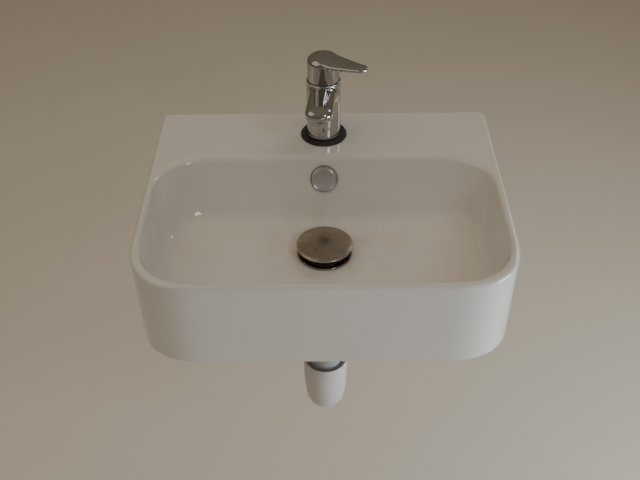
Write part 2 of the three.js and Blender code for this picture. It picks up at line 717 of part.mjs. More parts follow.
add("waste_body", wasteBody(), CHROME, waste);
add("waste_cap", wasteCap(), CHROME, waste);
const WASTE_WASHER = 4;
const BACK_NUT_HEIGHT = 8;
const washerTop = -WASTE_BOSS - GAP;
const backNutTop = washerTop - WASTE_WASHER - GAP;
const wasteWasher = ring(TAIL_RADIUS + GAP, 30, washerTop - WASTE_WASHER, washerTop);
add("waste_rubber_washer", wasteWasher, GREY_RUBBER, waste);
add("waste_back_nut", hexNut(54, TAIL_RADIUS + GAP, backNutTop - BACK_NUT_HEIGHT, backNutTop), BRASS, waste);

// Depths in this group are below the rim, on the waste's axis.
const trap = new THREE.Group();
trap.position.set(0, WASTE_Y, RIM_Z);
basin.add(trap);

const INLET_NUT_LOW = -(WASTE_DEPTH + 90);
const TAIL_LOW = TAIL_END - WASTE_DEPTH;
const TUBE_FOOT = -(TRAP_BOTTOM - 26);

// A round plastic nut with grip ribs all round.
function ribbedNut(bore, radius, low, high) {
  const RIBS = 12;
  const RIB_HEIGHT = 1.5;
  const STEPS = 4; // two on the rib, two between ribs
  const edge = [];
  for (let i = 0; i < RIBS * STEPS; i += 1) {
    const reach = radius + (i % STEPS < 2 ? RIB_HEIGHT : 0);
    const angle = (i / (RIBS * STEPS)) * Math.PI * 2;
    edge.push(new THREE.Vector2(reach * Math.cos(angle), reach * Math.sin(angle)));
  }
  const outer = new THREE.Shape(edge);
  outer.holes.push(new THREE.Path().absarc(0, 0, bore, 0, Math.PI * 2, true));
  const options = { depth: high - low, bevelEnabled: false, curveSegments: 16 };
  return toSolid(new THREE.ExtrudeGeometry(outer, options).translate(0, 0, low));
}

// The nut that joins the trap's tube to the waste's tail: wide above, drawn in below.
function inletNut() {
  const nut = ribbedNut(TAIL_RADIUS + GAP, TAIL_RADIUS + 4, INLET_NUT_LOW, TAIL_LOW + 14);
  const lip = toSolid(ring(PIPE_RADIUS + GAP, TAIL_RADIUS + 2, INLET_NUT_LOW, INLET_NUT_LOW + 4));
  return toGeometry(nut.add(lip));
}

// The dip tube: a collar that seals under the waste's tail, then a plain pipe down into the cup.
function dipTube() {
  const collar = TAIL_LOW - GAP;
  return turned([
    [PIPE_RADIUS - PIPE_WALL, TUBE_FOOT],
    [PIPE_RADIUS, TUBE_FOOT],
    [PIPE_RADIUS, collar - 4],
    [TAIL_RADIUS - 0.5, collar - 4],
    [TAIL_RADIUS - 0.5, collar],
    [PIPE_RADIUS - PIPE_WALL, collar],
    [PIPE_RADIUS - PIPE_WALL, TUBE_FOOT],
  ]);
}

const TRAP_RADIUS = 22.5;
const TRAP_WALL = 2.4;
const THREAD_RADIUS = TRAP_RADIUS - 1.5; // of the body's lower end, which screws into the cup
const THREAD_LENGTH = 12;
const NECK_RADIUS = 20;
const BRANCH_RADIUS = PIPE_RADIUS + PIPE_WALL + GAP + 0.8;
const BRANCH_END = 50; // distances from the trap's axis towards the wall
const PIPE_START = 30;
const OUTLET_NUT_START = 34;
const OUTLET_NUT_HEIGHT = 22;
const NUT_LIP = 3;

// The trap's upper body, with a neck round the dip tube and a side branch towards the wall.
function trapBody() {
  const low = -TRAP_COLLAR_TOP - THREAD_LENGTH;
  const high = -TRAP_BODY_TOP;
  const outer = toSolid(
    turned([
      [0, low],
      [THREAD_RADIUS, low],
      [THREAD_RADIUS, -TRAP_COLLAR_TOP + GAP + 3],
      [TRAP_RADIUS, -TRAP_COLLAR_TOP + GAP + 4],
      [TRAP_RADIUS, high - 8],
      [NECK_RADIUS, high - 4],
      [NECK_RADIUS, high],
      [0, high],
    ]),
  );
  const sideways = (radius, start, end) => toSolid(alongY(disc(radius, start, end, 32), 0, 0, -OUTLET_DEPTH));
  const inside = toSolid(disc(THREAD_RADIUS - TRAP_WALL, low - PAST, high - 10));
  const neck = toSolid(disc(PIPE_RADIUS + GAP, high - 4 * PAST, high + PAST));
  const channel = sideways(PIPE_RADIUS - PIPE_WALL, 0, PIPE_START);
  const socket = sideways(PIPE_RADIUS + GAP, PIPE_START, BRANCH_END + PAST);
  const shell = outer.add(sideways(BRANCH_RADIUS, 0, BRANCH_END));
  return toGeometry(shell.subtract(inside).subtract(neck).subtract(channel).subtract(socket));
}

// The cup that unscrews from below: a tall collar that draws in to a round-bottomed beaker.
function trapCup() {
  const COLLAR_RADIUS = 27.5;
  const COLLAR_HEIGHT = 31;
  const high = -TRAP_COLLAR_TOP;
  const low = -TRAP_BOTTOM;
  const seat = high - THREAD_LENGTH - 1;
  return turned([
    [0, low],
    [13, low],
    [18.5, low + 2.5],
    [22, low + 9],
    [24, low + 24],
    [24.6, high - COLLAR_HEIGHT - 12],
    [COLLAR_RADIUS, high - COLLAR_HEIGHT],
    [COLLAR_RADIUS, high - 1],
    [COLLAR_RADIUS - 1, high],
    [THREAD_RADIUS + GAP, high],
    [THREAD_RADIUS + GAP, seat],
    [THREAD_RADIUS - TRAP_WALL, seat],
    [18, low + 10],
    [11, low + TRAP_WALL],
    [0, low + TRAP_WALL],
  ]);
}

// The nut that closes the body's neck round the dip tube.
function topNut() {
  const high = -TRAP_BODY_TOP + 8;
  const nut = ribbedNut(NECK_RADIUS + GAP, NECK_RADIUS + 3.5, high - 11, high);
  const lip = toSolid(ring(PIPE_RADIUS + GAP, NECK_RADIUS + 2, high - NUT_LIP, high));
  return toGeometry(nut.add(lip));
}

// The nut that holds the outlet pipe in the side branch.
function outletNut() {
  const bore = BRANCH_RADIUS + GAP;
  const end = OUTLET_NUT_START + OUTLET_NUT_HEIGHT;
  const nut = ribbedNut(bore, bore + 4, OUTLET_NUT_START, end);
  const lip = toSolid(ring(PIPE_RADIUS + GAP, bore + 2, end - NUT_LIP, end));
  return alongY(toGeometry(nut.add(lip)), 0, 0, -OUTLET_DEPTH);
}

add("trap_inlet_nut", inletNut(), WHITE_PLASTIC, trap);
add("trap_dip_tube", dipTube(), WHITE_PLASTIC, trap);
add("trap_top_nut", topNut(), WHITE_PLASTIC, trap);
add("trap_body", trapBody(), WHITE_PLASTIC, trap);
add("trap_cup", trapCup(), WHITE_PLASTIC, trap);
add("trap_outlet_nut", outletNut(), WHITE_PLASTIC, trap);
const outletPipe = ring(PIPE_RADIUS - PIPE_WALL, PIPE_RADIUS, PIPE_START + GAP, -WASTE_Y, 40);
add("trap_outlet_pipe", alongY(outletPipe, 0, 0, -OUTLET_DEPTH), WHITE_PLASTIC, trap);

// The plate that hides the hole in the wall round the outlet pipe.
function wallPlate() {
  const REACH = 14;
  const EDGE = 36;
  const inner = PIPE_RADIUS + GAP;
  return turned([
    [inner, -WASTE_Y - REACH],
    [inner + 2, -WASTE_Y - REACH],
    [EDGE - 6, -WASTE_Y - 6],
    [EDGE, -WASTE_Y - 2],
    [EDGE, -WASTE_Y],
    [inner, -WASTE_Y],
    [inner, -WASTE_Y - REACH],
  ]);
}

add("outlet_wall_plate", alongY(wallPlate(), 0, 0, -OUTLET_DEPTH), WHITE_PLASTIC, trap);

// The two wall bolts, each with a nylon sleeve, a steel washer and a nut, tightened inside the recess.
const BOLT_RADIUS = 4.8;
const BOLT_END = -34;
const SLEEVE_FLANGE = -(BACK_THICKNESS + 4); // the flange lies on the recess side of the back wall
const BOLT_WASHER = 2;
const BOLT_NUT_HEIGHT = 8;
const boltBore = BOLT_RADIUS + GAP;
const boltWasherTop = SLEEVE_FLANGE - GAP;
const boltNutTop = boltWasherTop - BOLT_WASHER - GAP;
for (const [side, x] of [["left", -BOLT_X], ["right", BOLT_X]]) {
  add(`wall_bolt_${side}`, alongY(disc(BOLT_RADIUS, BOLT_END, -GAP, 20), x, 0, 0), STEEL);
  const sleeve = turned(
    [
      [boltBore, SLEEVE_FLANGE],
      [13, SLEEVE_FLANGE],
      [13, -BACK_THICKNESS - GAP],
      [BOLT_HOLE_RADIUS - GAP, -BACK_THICKNESS - GAP],
      [BOLT_HOLE_RADIUS - GAP, -1],
      [boltBore, -1],
      [boltBore, SLEEVE_FLANGE],
    ],
    24,
  );
  add(`bolt_sleeve_${side}`, alongY(sleeve, x, 0, 0), NYLON);
  const washer = ring(boltBore, 11, boltWasherTop - BOLT_WASHER, boltWasherTop, 24);
  add(`bolt_washer_${side}`, alongY(washer, x, 0, 0), STEEL);
  const nut = hexNut(17, boltBore, boltNutTop - BOLT_NUT_HEIGHT, boltNutTop);
  add(`bolt_nut_${side}`, alongY(nut, x, 0, 0), STEEL);
}

export default basin;
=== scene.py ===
# %% [markdown]
# # A small wall-hung washbasin, its tap, waste and trap
# The lesson makes the surface that shows on a small ceramic washbasin: glazed body, mixer tap, waste and
# bottle trap. A frame of plain solids is loaded first. It fixes the size and the place of each piece, in
# metres, and each finer piece made below replaces one of those solids and moves with the same body.

# %% Load the frame
import math

import bpy
import numpy as np
from mathutils import Matrix, Vector


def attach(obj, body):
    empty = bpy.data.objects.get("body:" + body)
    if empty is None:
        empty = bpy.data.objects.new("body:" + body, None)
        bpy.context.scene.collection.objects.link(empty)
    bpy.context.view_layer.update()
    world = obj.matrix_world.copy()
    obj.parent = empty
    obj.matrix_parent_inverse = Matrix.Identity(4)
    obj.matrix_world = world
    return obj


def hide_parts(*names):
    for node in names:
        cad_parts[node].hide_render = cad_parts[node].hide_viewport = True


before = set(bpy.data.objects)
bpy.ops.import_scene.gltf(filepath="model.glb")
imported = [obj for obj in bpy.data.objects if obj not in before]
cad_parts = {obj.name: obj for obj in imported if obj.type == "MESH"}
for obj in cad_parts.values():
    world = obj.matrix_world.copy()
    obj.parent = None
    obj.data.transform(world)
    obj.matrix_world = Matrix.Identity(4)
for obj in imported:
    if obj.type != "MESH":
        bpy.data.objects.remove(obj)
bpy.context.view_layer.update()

# %% [markdown]
# ## Camera, floor and light
# The camera stands where the photographer stood and looks steeply down, with a longer lens that is aimed at
# the basin's middle. Such a basin hangs with its rim about 800 mm above the floor, so the pale floor lies
# that far below. The photographed room has a warm ceiling light and cool daylight that comes in low at the
# right, and so have the panels here; weaker ones fill in from the sides. Glaze and chrome mirror the panels.
# The photograph's chrome shows no wide bright ceiling, so the overhead panel is kept out of mirror
# reflections.

# %% Camera
EYE = Vector((-0.0006, -0.9707, 0.637))
SIGHT = Vector((-0.0045, 0.7772, -0.6293)).normalized()
UPRIGHT = Vector((0.0075, 0.5511, 0.8344))
LENS = 50.5


def look_along(direction, upright):
    """A turn whose -Z points along the direction and whose Y is as near as it can be to upright."""
    back = -direction.normalized()
    right = upright.cross(back).normalized()
    return Matrix((right, back.cross(right), back)).transposed().to_4x4()


camera = bpy.data.objects.new("camera", bpy.data.cameras.new("camera"))
camera.data.lens = LENS
camera.data.sensor_width = 36.0
camera.data.clip_end = 60.0
camera.matrix_world = Matrix.Translation(EYE) @ look_along(SIGHT, UPRIGHT)
bpy.context.scene.collection.objects.link(camera)
bpy.context.scene.camera = camera
print("camera looks down by", round(math.degrees(math.asin(-SIGHT.z)), 1), "degrees")

# %% Light panels
CENTRE = Vector((0.0, -0.16, 0.0))
COOL, WARM = (0.78, 0.89, 1.0), (1.0, 0.81, 0.58)

for name, place, size, power, colour in (
        ("window", (1.30, -0.60, -0.24), (0.7, 0.5), 15.0, COOL),
        ("room_right", (0.95, -1.45, 1.15), (0.4, 0.4), 4.0, COOL),
        ("back_right", (1.1, 0.9, 0.9), (0.5, 0.5), 3.0, COOL),
        ("room_left", (-1.3, -0.6, 1.3), (1.6, 1.6), 3.8, (1.0, 0.90, 0.76)),
        ("low_front", (0.5, -1.8, -0.30), (0.9, 0.5), 1.2, (0.95, 0.97, 1.0)),
        ("ceiling", (0.1, -0.35, 1.9), (2.4, 2.1), 10.5, WARM)):
    light = bpy.data.lights.new(name, "AREA")
    light.shape = "RECTANGLE"
    light.size, light.size_y = size
    light.energy = power
    light.color = colour
    lamp = bpy.data.objects.new(name, light)
    turn = look_along(CENTRE - Vector(place), Vector((0, 0, 1)))
    lamp.matrix_world = Matrix.Translation(place) @ turn
    lamp.visible_glossy = name != "ceiling"
    bpy.context.scene.collection.objects.link(lamp)

# %% [markdown]
# ## How a material is written
# A procedural surface is arithmetic on the place of each surface point. Math nodes hide such a formula, so a
# small class wraps a node's output and turns +, - and * into nodes. For every other node one method sets its
# settings and then its inputs.

# %% Material tools
def arithmetic(operation):
    """The methods for a wire on the left and on the right of an operator."""
    left = lambda wire, other: wire.paint.math(operation, wire, other)
    right = lambda wire, other: wire.paint.math(operation, other, wire)
    return left, right


class Wire:
    """A number that runs through a material; arithmetic on it adds Math nodes."""

    __add__, __radd__ = arithmetic("ADD")
    __sub__, __rsub__ = arithmetic("SUBTRACT")
    __mul__, __rmul__ = arithmetic("MULTIPLY")

    def __init__(self, paint, socket):
        self.paint, self.socket = paint, socket

    def rise(self, low, high):
        """0 below low and 1 above high, with a soft step between."""
        inputs = {"Value": self, "From Min": low, "From Max": high}
        made = self.paint.node("ShaderNodeMapRange", {"interpolation_type": "SMOOTHSTEP"}, inputs)
        return Wire(self.paint, made.outputs["Result"])


class Paint:
    """One material: its shader and the nodes that feed it. It keeps a slot name, which nothing uses."""

    def __init__(self, name, slot=None, **uniform):
        self.slot = slot or name
        self.material = bpy.data.materials.new(name)
        self.material.use_nodes = True
        self.tree = self.material.node_tree
        self.tree.nodes.clear()
        self.shader = self.node("ShaderNodeBsdfPrincipled")
        self.surface(**uniform)
        self.node("ShaderNodeOutputMaterial", {}, {"Surface": self.shader.outputs["BSDF"]})
        self.place = self.node("ShaderNodeTexCoord").outputs["Object"]
        split = self.node("ShaderNodeSeparateXYZ", {}, {"Vector": self.place})
        self.x, self.y, self.z = (Wire(self, split.outputs[axis]) for axis in "XYZ")

    def node(self, kind, settings=None, inputs=None):
        """Adds a node: settings first, because they choose its sockets."""
        made = self.tree.nodes.new(kind)
        for name, value in (settings or {}).items():
            setattr(made, name, value)
        for key, value in (inputs or {}).items():
            self.feed(made.inputs[key], value)
        return made

    def feed(self, socket, value):
        """Links a wire or a socket to an input, or sets a plain value on it."""
        source = value.socket if isinstance(value, Wire) else value
        if isinstance(source, bpy.types.NodeSocket):
            self.tree.links.new(source, socket)
        else:
            socket.default_value = source

    def math(self, operation, *values):
        made = self.node("ShaderNodeMath", {"operation": operation}, dict(enumerate(values)))
        return Wire(self, made.outputs["Value"])

    def reach(self, *offsets):
        """The distance from an axis, given two offsets across it, or from a centre, given three."""
        return self.math("SQRT", sum(offset * offset for offset in offsets))

    def noise(self, scale, detail=3.0, stretch=(1, 1, 1)):
        """Soft random clouds, from 0 to 1; scale is how many fit in a metre."""
        where = self.node("ShaderNodeVectorMath", {"operation": "MULTIPLY"}, {0: self.place, 1: stretch})
        inputs = {"Vector": where.outputs["Vector"], "Scale": scale, "Detail": detail}
        return Wire(self, self.node("ShaderNodeTexNoise", {}, inputs).outputs["Fac"])

    def spots(self, scale):
        """The distance from each point to the nearest of many scattered points."""
        inputs = {"Vector": self.place, "Scale": scale}
        return Wire(self, self.node("ShaderNodeTexVoronoi", {}, inputs).outputs["Distance"])

    def mix(self, share, none, full):
        """A colour between two colours; the share chooses the second."""
        ends = [(*end, 1.0) if isinstance(end, tuple) else end for end in (none, full)]
        made = self.node("ShaderNodeMix", {"data_type": "RGBA"}, {0: share, 6: ends[0], 7: ends[1]})
        return made.outputs[2]

    def surface(self, **inputs):
        """Feeds the shader's own inputs."""
        for name, value in inputs.items():
            self.feed(self.shader.inputs[name.replace("_", " ")], value)

    def bump(self, height, depth):
        """Tilts the shading by a height from 0 to 1 that stands for this depth in metres."""
        made = self.node("ShaderNodeBump", {}, {"Strength": 1.0, "Distance": depth, "Height": height})
        self.feed(self.shader.inputs["Normal"], made.outputs["Normal"])


# %% World and floor
FLOOR_Z = -0.745


def studio_world():
    """A dim, warm room that is lighter above and darker near the floor."""
    world = bpy.data.worlds.new("studio")
    world.use_nodes = True
    tree = world.node_tree
    tree.nodes.clear()
    kinds = "TexCoord", "SeparateXYZ", "MapRange", "ValToRGB", "Background", "OutputWorld"
    place, split, lift, ramp, background, output = (tree.nodes.new("ShaderNode" + kind) for kind in kinds)
    lift.inputs["From Min"].default_value = -1.0
    background.inputs["Strength"].default_value = 0.7
    stops = ramp.color_ramp.elements
    stops[0].color, stops[1].color = (0.07, 0.055, 0.04, 1.0), (0.30, 0.26, 0.20, 1.0)
    for position, colour in ((0.42, (0.10, 0.08, 0.06, 1.0)), (0.58, (0.22, 0.185, 0.14, 1.0))):
        stops.new(position).color = colour
    for source, socket in (
            (place.outputs["Generated"], split.inputs[0]), (split.outputs["Z"], lift.inputs["Value"]),
            (lift.outputs["Result"], ramp.inputs["Fac"]), (ramp.outputs["Color"], background.inputs["Color"]),
            (background.outputs["Background"], output.inputs["Surface"])):
        tree.links.new(source, socket)
    return world


bpy.context.scene.world = studio_world()

floor_paint = Paint("floor", Roughness=0.8)
floor_tone = floor_paint.mix(floor_paint.noise(3.0), (0.80, 0.735, 0.625), (0.84, 0.775, 0.665))
floor_paint.surface(Base_Color=floor_tone)
HALF_FLOOR = 12.0
floor_mesh = bpy.data.meshes.new("floor")
corners = [(HALF_FLOOR * x, HALF_FLOOR * y, FLOOR_Z) for x, y in ((-1, -1), (1, -1), (1, 1), (-1, 1))]
floor_mesh.from_pydata(corners, [], [(0, 1, 2, 3)])
floor_mesh.materials.append(floor_paint.material)
floor = bpy.data.objects.new("floor", floor_mesh)
bpy.context.scene.collection.objects.link(floor)
print("floor at", FLOOR_Z)

# %% [markdown]
# ## How a surface is written
# Cast, turned and moulded things all are a stack of rings: an outline that changes a little from one level
# to the next. The stack is one array of points, so a formula can work on all of it at once. It closes at a
# point on its axis, at a flat face, or on itself as a washer does. Lengths in the formulas are millimetres,
# as on a drawing, and become metres where the mesh is made.

# %% Rings to solids
import bmesh

MM = 0.001
RIM_Z = 55.0


def has_width(ring):
    return np.ptp(ring, axis=0).max() > 1e-6


def ringed(name, rings, closed=False):
    """A closed solid through rings of points, which run anticlockwise seen from the far end of the stack.

    The end rings become flat faces, or points where they have no width. With closed, they are joined.
    """
    rows, columns, _ = rings.shape
    row = np.arange(rows if closed else rows - 1)[:, None]
    column = np.arange(columns)[None, :]
    near, far = row * columns, (row + 1) % rows * columns
    beside = (column + 1) % columns
    quads = np.stack([near + column, near + beside, far + beside, far + column], axis=-1).reshape(-1, 4)
    faces = quads.tolist()
    if not closed and has_width(rings[0]):
        faces.append(list(range(columns))[::-1])
    if not closed and has_width(rings[-1]):
        faces.append(list(range((rows - 1) * columns, rows * columns)))
    mesh = bpy.data.meshes.new(name)
    mesh.from_pydata((rings.reshape(-1, 3) * MM).tolist(), [], faces)
    shape = bmesh.new()
    shape.from_mesh(mesh)
    bmesh.ops.remove_doubles(shape, verts=shape.verts, dist=1e-7)
    shape.to_mesh(mesh)
    shape.free()
    piece = bpy.data.objects.new(name, mesh)
    bpy.context.scene.collection.objects.link(piece)
    return piece


def combine(piece, tool, operation):
    """Joins (UNION) or cuts (DIFFERENCE) a closed piece with a closed tool, and drops the tool."""
    step = piece.modifiers.new("step", "BOOLEAN")
    step.operation, step.solver, step.object = operation, "MANIFOLD", tool
    made = bpy.data.meshes.new_from_object(piece.evaluated_get(bpy.context.evaluated_depsgraph_get()))
    piece.modifiers.clear()
    spent, piece.data = piece.data, made
    bpy.data.meshes.remove(spent)
    bpy.data.objects.remove(tool)
    made.name = piece.name


def cut(piece, rings):
    combine(piece, ringed("tool", rings), "DIFFERENCE")


def join(piece, rings):
    combine(piece, ringed("tool", rings), "UNION")


def settle(piece, paint, body, *nodes, crease=35.0):
    """Finishes a piece: shading that breaks at edges sharper than the crease, material, body and node."""
    mesh = piece.data
    mesh.materials.clear()
    mesh.materials.append(paint.material)
    mesh.shade_smooth()
    mesh.set_sharp_from_angle(angle=math.radians(crease))
    piece.modifiers.new("flat_faces_lead", "WEIGHTED_NORMAL").keep_sharp = True
    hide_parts(*nodes)
    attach(piece, body)
    triangles = sum(len(face.vertices) - 2 for face in mesh.polygons)
    points = np.empty(len(mesh.vertices) * 3)
    mesh.vertices.foreach_get("co", points)
    size = np.ptp(points.reshape(-1, 3), axis=0) / MM
    print(piece.name, triangles, "triangles", [round(v, 3) for v in size], "mm")


def finished(name, rings, paint, body="fixed", crease=35.0):
    """A piece straight from its rings. A stack that doesn't start at a point closes on itself."""
    settle(ringed(name, rings, has_width(rings[0])), paint, body, name, crease=crease)


# %% Profiles and turned rings
def grid(*coordinates):
    """One array of points from arrays of coordinates, spread to a common shape."""
    return np.stack(np.broadcast_arrays(*coordinates), axis=-1)


def circle(count):
    """Angles once round, evenly spaced."""
    return np.arange(count) * (2 * np.pi / count)


def around(radius, angle, height):
    """Points about the Z axis."""
    return grid(radius * np.cos(angle), radius * np.sin(angle), height)


def squarish(angle, power):
    """A point of the curve |x|^power + |y|^power = 1 for each angle."""
    x, y = np.cos(angle), np.sin(angle)
    return np.sign(x) * np.abs(x) ** (2 / power), np.sign(y) * np.abs(y) ** (2 / power)


def rounded(corners, steps=5):
    """The profile of some [radius, height, rounding] corners.

    Each corner becomes an arc that leaves the two edges at its rounding's distance. The arc is the rational
    curve through those two points that bends towards the corner by the sine of half its angle.
    """
    table = np.array([[*corner, 0.0][:3] for corner in corners], dtype=float)
    point, reach = table[:, :2], table[:, 2]
    before, after = np.roll(point, 1, axis=0) - point, np.roll(point, -1, axis=0) - point
    size_before, size_after = np.linalg.norm(before, axis=1), np.linalg.norm(after, axis=1)
    reach = np.minimum(reach, 0.499 * np.minimum(size_before, size_after))[:, None]
    before, after = before / size_before[:, None], after / size_after[:, None]
    pull = np.sqrt(np.clip((1 - np.sum(before * after, axis=1)) / 2, 0, 1))[:, None, None]
    t = np.linspace(0, 1, steps)[None, :, None]
    start, end = (point + before * reach)[:, None], (point + after * reach)[:, None]
    weights = (1 - t) ** 2, 2 * t * (1 - t) * pull, t ** 2
    curve = (weights[0] * start + weights[1] * point[:, None] + weights[2] * end) / sum(weights)
    return curve.reshape(-1, 2)


def turned(profile, segments=96):
    """Rings about the Z axis: each [radius, height] of the profile swept once round."""
    radius, height = np.asarray(profile, dtype=float).T[..., None]
    return around(radius, circle(segments), height)


def rod(radius, low, high, segments=96):
    """A plain round bar, for cutting a bore."""
    return turned([[0, low], [radius, low], [radius, high], [0, high]], segments)


def moved(rings, x=0.0, y=0.0, z=0.0):
    return rings + np.array([x, y, z])


def along_y(rings, x=0.0, y=0.0, z=0.0):
    """Lays a body that was made about the Z axis along +Y, at a place of its own."""
    return grid(rings[..., 0] + x, rings[..., 2] + y, z - rings[..., 1])


def smooth_rings(controls, steps):
    """A stack of rings that flows smoothly past a few control rings: the uniform cubic B-spline.

    Each new ring is a weighted mean of four control rings, and the weights slide along the stack. Mirrored
    controls beyond both ends make it start and end on the end rings.
    """
    ends = 2 * controls[[0]] - controls[[1]], 2 * controls[[-1]] - controls[[-2]]
    stack = np.concatenate([ends[0], controls, ends[1]])
    u = np.arange(steps) / steps
    weights = np.stack([
        (1 - u) ** 3, 3 * u ** 3 - 6 * u ** 2 + 4, -3 * u ** 3 + 3 * u ** 2 + 3 * u + 1, u ** 3]) / 6
    windows = np.stack([stack[k:len(stack) - 3 + k] for k in range(4)])
    rings = np.einsum("ks,kjnc->jsnc", weights, windows).reshape(-1, *controls.shape[1:])
    return np.concatenate([rings, controls[[-1]]])


# %% [markdown]
# ## The ceramic basin
# The real basin is slip-cast: liquid clay sets in a plaster mould, so every edge is soft and every wall
# leans a little to leave the mould. Here one stack of rings starts under the apron, climbs the outside,
# turns over the thin rim, crosses the flat tap ledge, goes down the bowl and ends round the waste hole. That
# gives clean lines for the glaze to mirror. Only hollows and holes, whose edges cross the rings, are cut
# from it afterwards.

# %% Sizes of the ceramic
WIDTH, DEPTH, APRON_HEIGHT = 400.0, 325.0, 107.0
RIM_THICKNESS, RIM_EDGE = 8.5, 4.0
FRONT_CORNER, FRONT_POWER, BACK_CORNER = 76.0, 2.5, 4.0
LEDGE_DEPTH, LEDGE_EDGE = 101.0, 10.0
BACK_LEAN, SIDE_LEAN, BOWL_BACK_CORNER = 0.42, 0.14, 56.0
FLOOR_EDGE, WASTE_DEPTH, WASTE_Y = 66.0, 80.0, -177.0
SEAT_RADIUS, SKIRT_EDGE, TAPER = 36.5, 3.0, 2.0
CORNER_STEPS, SIDE_STEPS = 30, 22


# %% Outlines of the ceramic
def outline(half, back, front, back_corner, front_corner):
    """Plan outlines, one for each entry of the sizes, anticlockwise from the back end of the right-hand side.

    Four corners are joined by straight sides. A corner is a quarter of the curve |x/size|^p + |y/size|^p = 1:
    p is 2 at the back, a circle, and a little more in front, which gives the fuller corners of the apron.
    """
    half, back, front, back_corner, front_corner = np.broadcast_arrays(
        *(np.asarray(v)[..., None, None] for v in (half, back, front, back_corner, front_corner)))
    side_x = np.array([1, -1, -1, 1.0])[:, None]
    side_y = np.array([1, 1, -1, -1.0])[:, None]
    at_back = side_y > 0
    size = np.where(at_back, back_corner, front_corner)
    power = np.where(at_back, 2.0, FRONT_POWER)
    turn = (np.arange(4)[:, None] + np.linspace(0, 1, CORNER_STEPS)) * (np.pi / 2)
    across = size * np.abs(np.cos(turn)) ** (2 / power)
    along = size * np.abs(np.sin(turn)) ** (2 / power)
    end = np.where(at_back, back, front)
    corner = np.stack([side_x * (half - size + across), end - side_y * (size - along)], axis=-1)
    share = (np.arange(1, SIDE_STEPS) / SIDE_STEPS)[:, None]
    here, there = corner[..., -1:, :], np.roll(corner, -1, axis=-3)[..., :1, :]
    ring = np.concatenate([corner, here + (there - here) * share], axis=-2)
    return ring.reshape(*ring.shape[:-3], -1, 2)


def at_depth(plan, depth):
    """Plan rings with a depth below the rim for each ring, as a column, or for each point."""
    return grid(plan[..., 0], plan[..., 1], RIM_Z - depth)


def apron_rings(inset, back, depth):
    """Outlines of the apron at some insets, with the place of their back edge and their depth."""
    plan = outline(WIDTH / 2 - inset, back, inset - DEPTH, BACK_CORNER, FRONT_CORNER - inset)
    return at_depth(plan, depth[:, None])


def outside():
    """From the skirt's underside up to the flat top: a quarter-round, the tapering apron, a quarter-round.

    The back stays on the wall's plane but for its round top edge.
    """
    quarter = np.linspace(0, np.pi / 2, 7)
    skirt = TAPER + SKIRT_EDGE * (1 - np.sin(quarter)), APRON_HEIGHT - SKIRT_EDGE * (1 - np.cos(quarter))
    depth = np.linspace(APRON_HEIGHT - SKIRT_EDGE, RIM_EDGE, 12)[1:-1]
    wall = TAPER * (depth - RIM_EDGE) / (APRON_HEIGHT - SKIRT_EDGE - RIM_EDGE), depth
    rim = RIM_EDGE * (1 - np.cos(quarter)), RIM_EDGE * (1 - np.sin(quarter))
    inset, depth = np.concatenate([skirt, wall, rim], axis=1)
    return apron_rings(inset, -np.where(depth < RIM_EDGE, 0.3 * inset, 0.0), depth)


BACKNESS = np.concatenate([
    np.linspace(0, 1, CORNER_STEPS), np.ones(SIDE_STEPS - 1), np.linspace(1, 0, CORNER_STEPS),
    np.zeros(3 * (SIDE_STEPS - 1) + 2 * CORNER_STEPS)])
BACKNESS = BACKNESS ** 2 * (3 - 2 * BACKNESS)


def bowl_ring(side, side_depth, back, back_depth):
    """Outlines of the bowl from the insets at sides and front, the distances from the wall, and two depths.

    A point's depth lies between the two by how far round the back corner it stands.
    """
    plan = outline(WIDTH / 2 - side, -back, side - DEPTH, BOWL_BACK_CORNER, FRONT_CORNER - side / 2)
    depth = side_depth[:, None] + (back_depth - side_depth)[:, None] * BACKNESS
    return at_depth(plan, depth)


def edge_arc(radius, lean, wall, steps=9):
    """Travel and depth along a round edge from the flat top into a leaning wall; both planes meet at wall."""
    full = math.atan2(1, lean)
    angle = np.linspace(0, full, steps)
    start = wall - radius * math.tan(full / 2)
    return start + radius * np.sin(angle), radius * (1 - np.cos(angle))


def towards_waste(points, radius, depth, share):
    """Rings between a ring (share 0) and a circle round the waste (share 1), along straight spokes."""
    angle = np.arctan2(points[:, 1] - WASTE_Y, points[:, 0])
    inner = moved(around(radius, angle, RIM_Z - depth), y=WASTE_Y)
    return points + (inner - points) * np.asarray(share)[..., None]


def bowl():
    """The inside of the bowl, from the flat top down to the level seat of the waste.

    The round edges are arcs. Below them the leaning walls, the corner at the floor and the fall to the waste
    are control rings that one smooth stack flows past.
    """
    fillet_reach = 24.0
    side_foot, back_foot = RIM_THICKNESS, LEDGE_DEPTH - LEDGE_EDGE * BACK_LEAN
    side, side_depth = edge_arc(RIM_EDGE, SIDE_LEAN, side_foot)
    back, back_depth = edge_arc(LEDGE_EDGE, BACK_LEAN, back_foot)
    edge = bowl_ring(side, side_depth, back, back_depth)
    levels = np.array([18.0, 42.0, FLOOR_EDGE])
    wall = bowl_ring(side_foot + SIDE_LEAN * levels, levels, back_foot + BACK_LEAN * levels, levels)
    foot = wall[-1]
    span = np.linalg.norm(foot - towards_waste(foot, SEAT_RADIUS, WASTE_DEPTH, 1.0), axis=1)
    first = np.clip(fillet_reach / span, 0.1, 0.4)
    shares = np.stack([first + (1 - first) * part for part in (0.0, 0.3, 0.6, 0.85)])
    fall = towards_waste(foot, SEAT_RADIUS, WASTE_DEPTH, shares)
    seat = np.stack([towards_waste(foot, SEAT_RADIUS - step, WASTE_DEPTH, 1.0) for step in (0.0, 2.5, 5.0)])
    flow = smooth_rings(np.concatenate([edge[[-1]], wall, fall, seat]), 6)
    return np.concatenate([edge, flow[1:]])


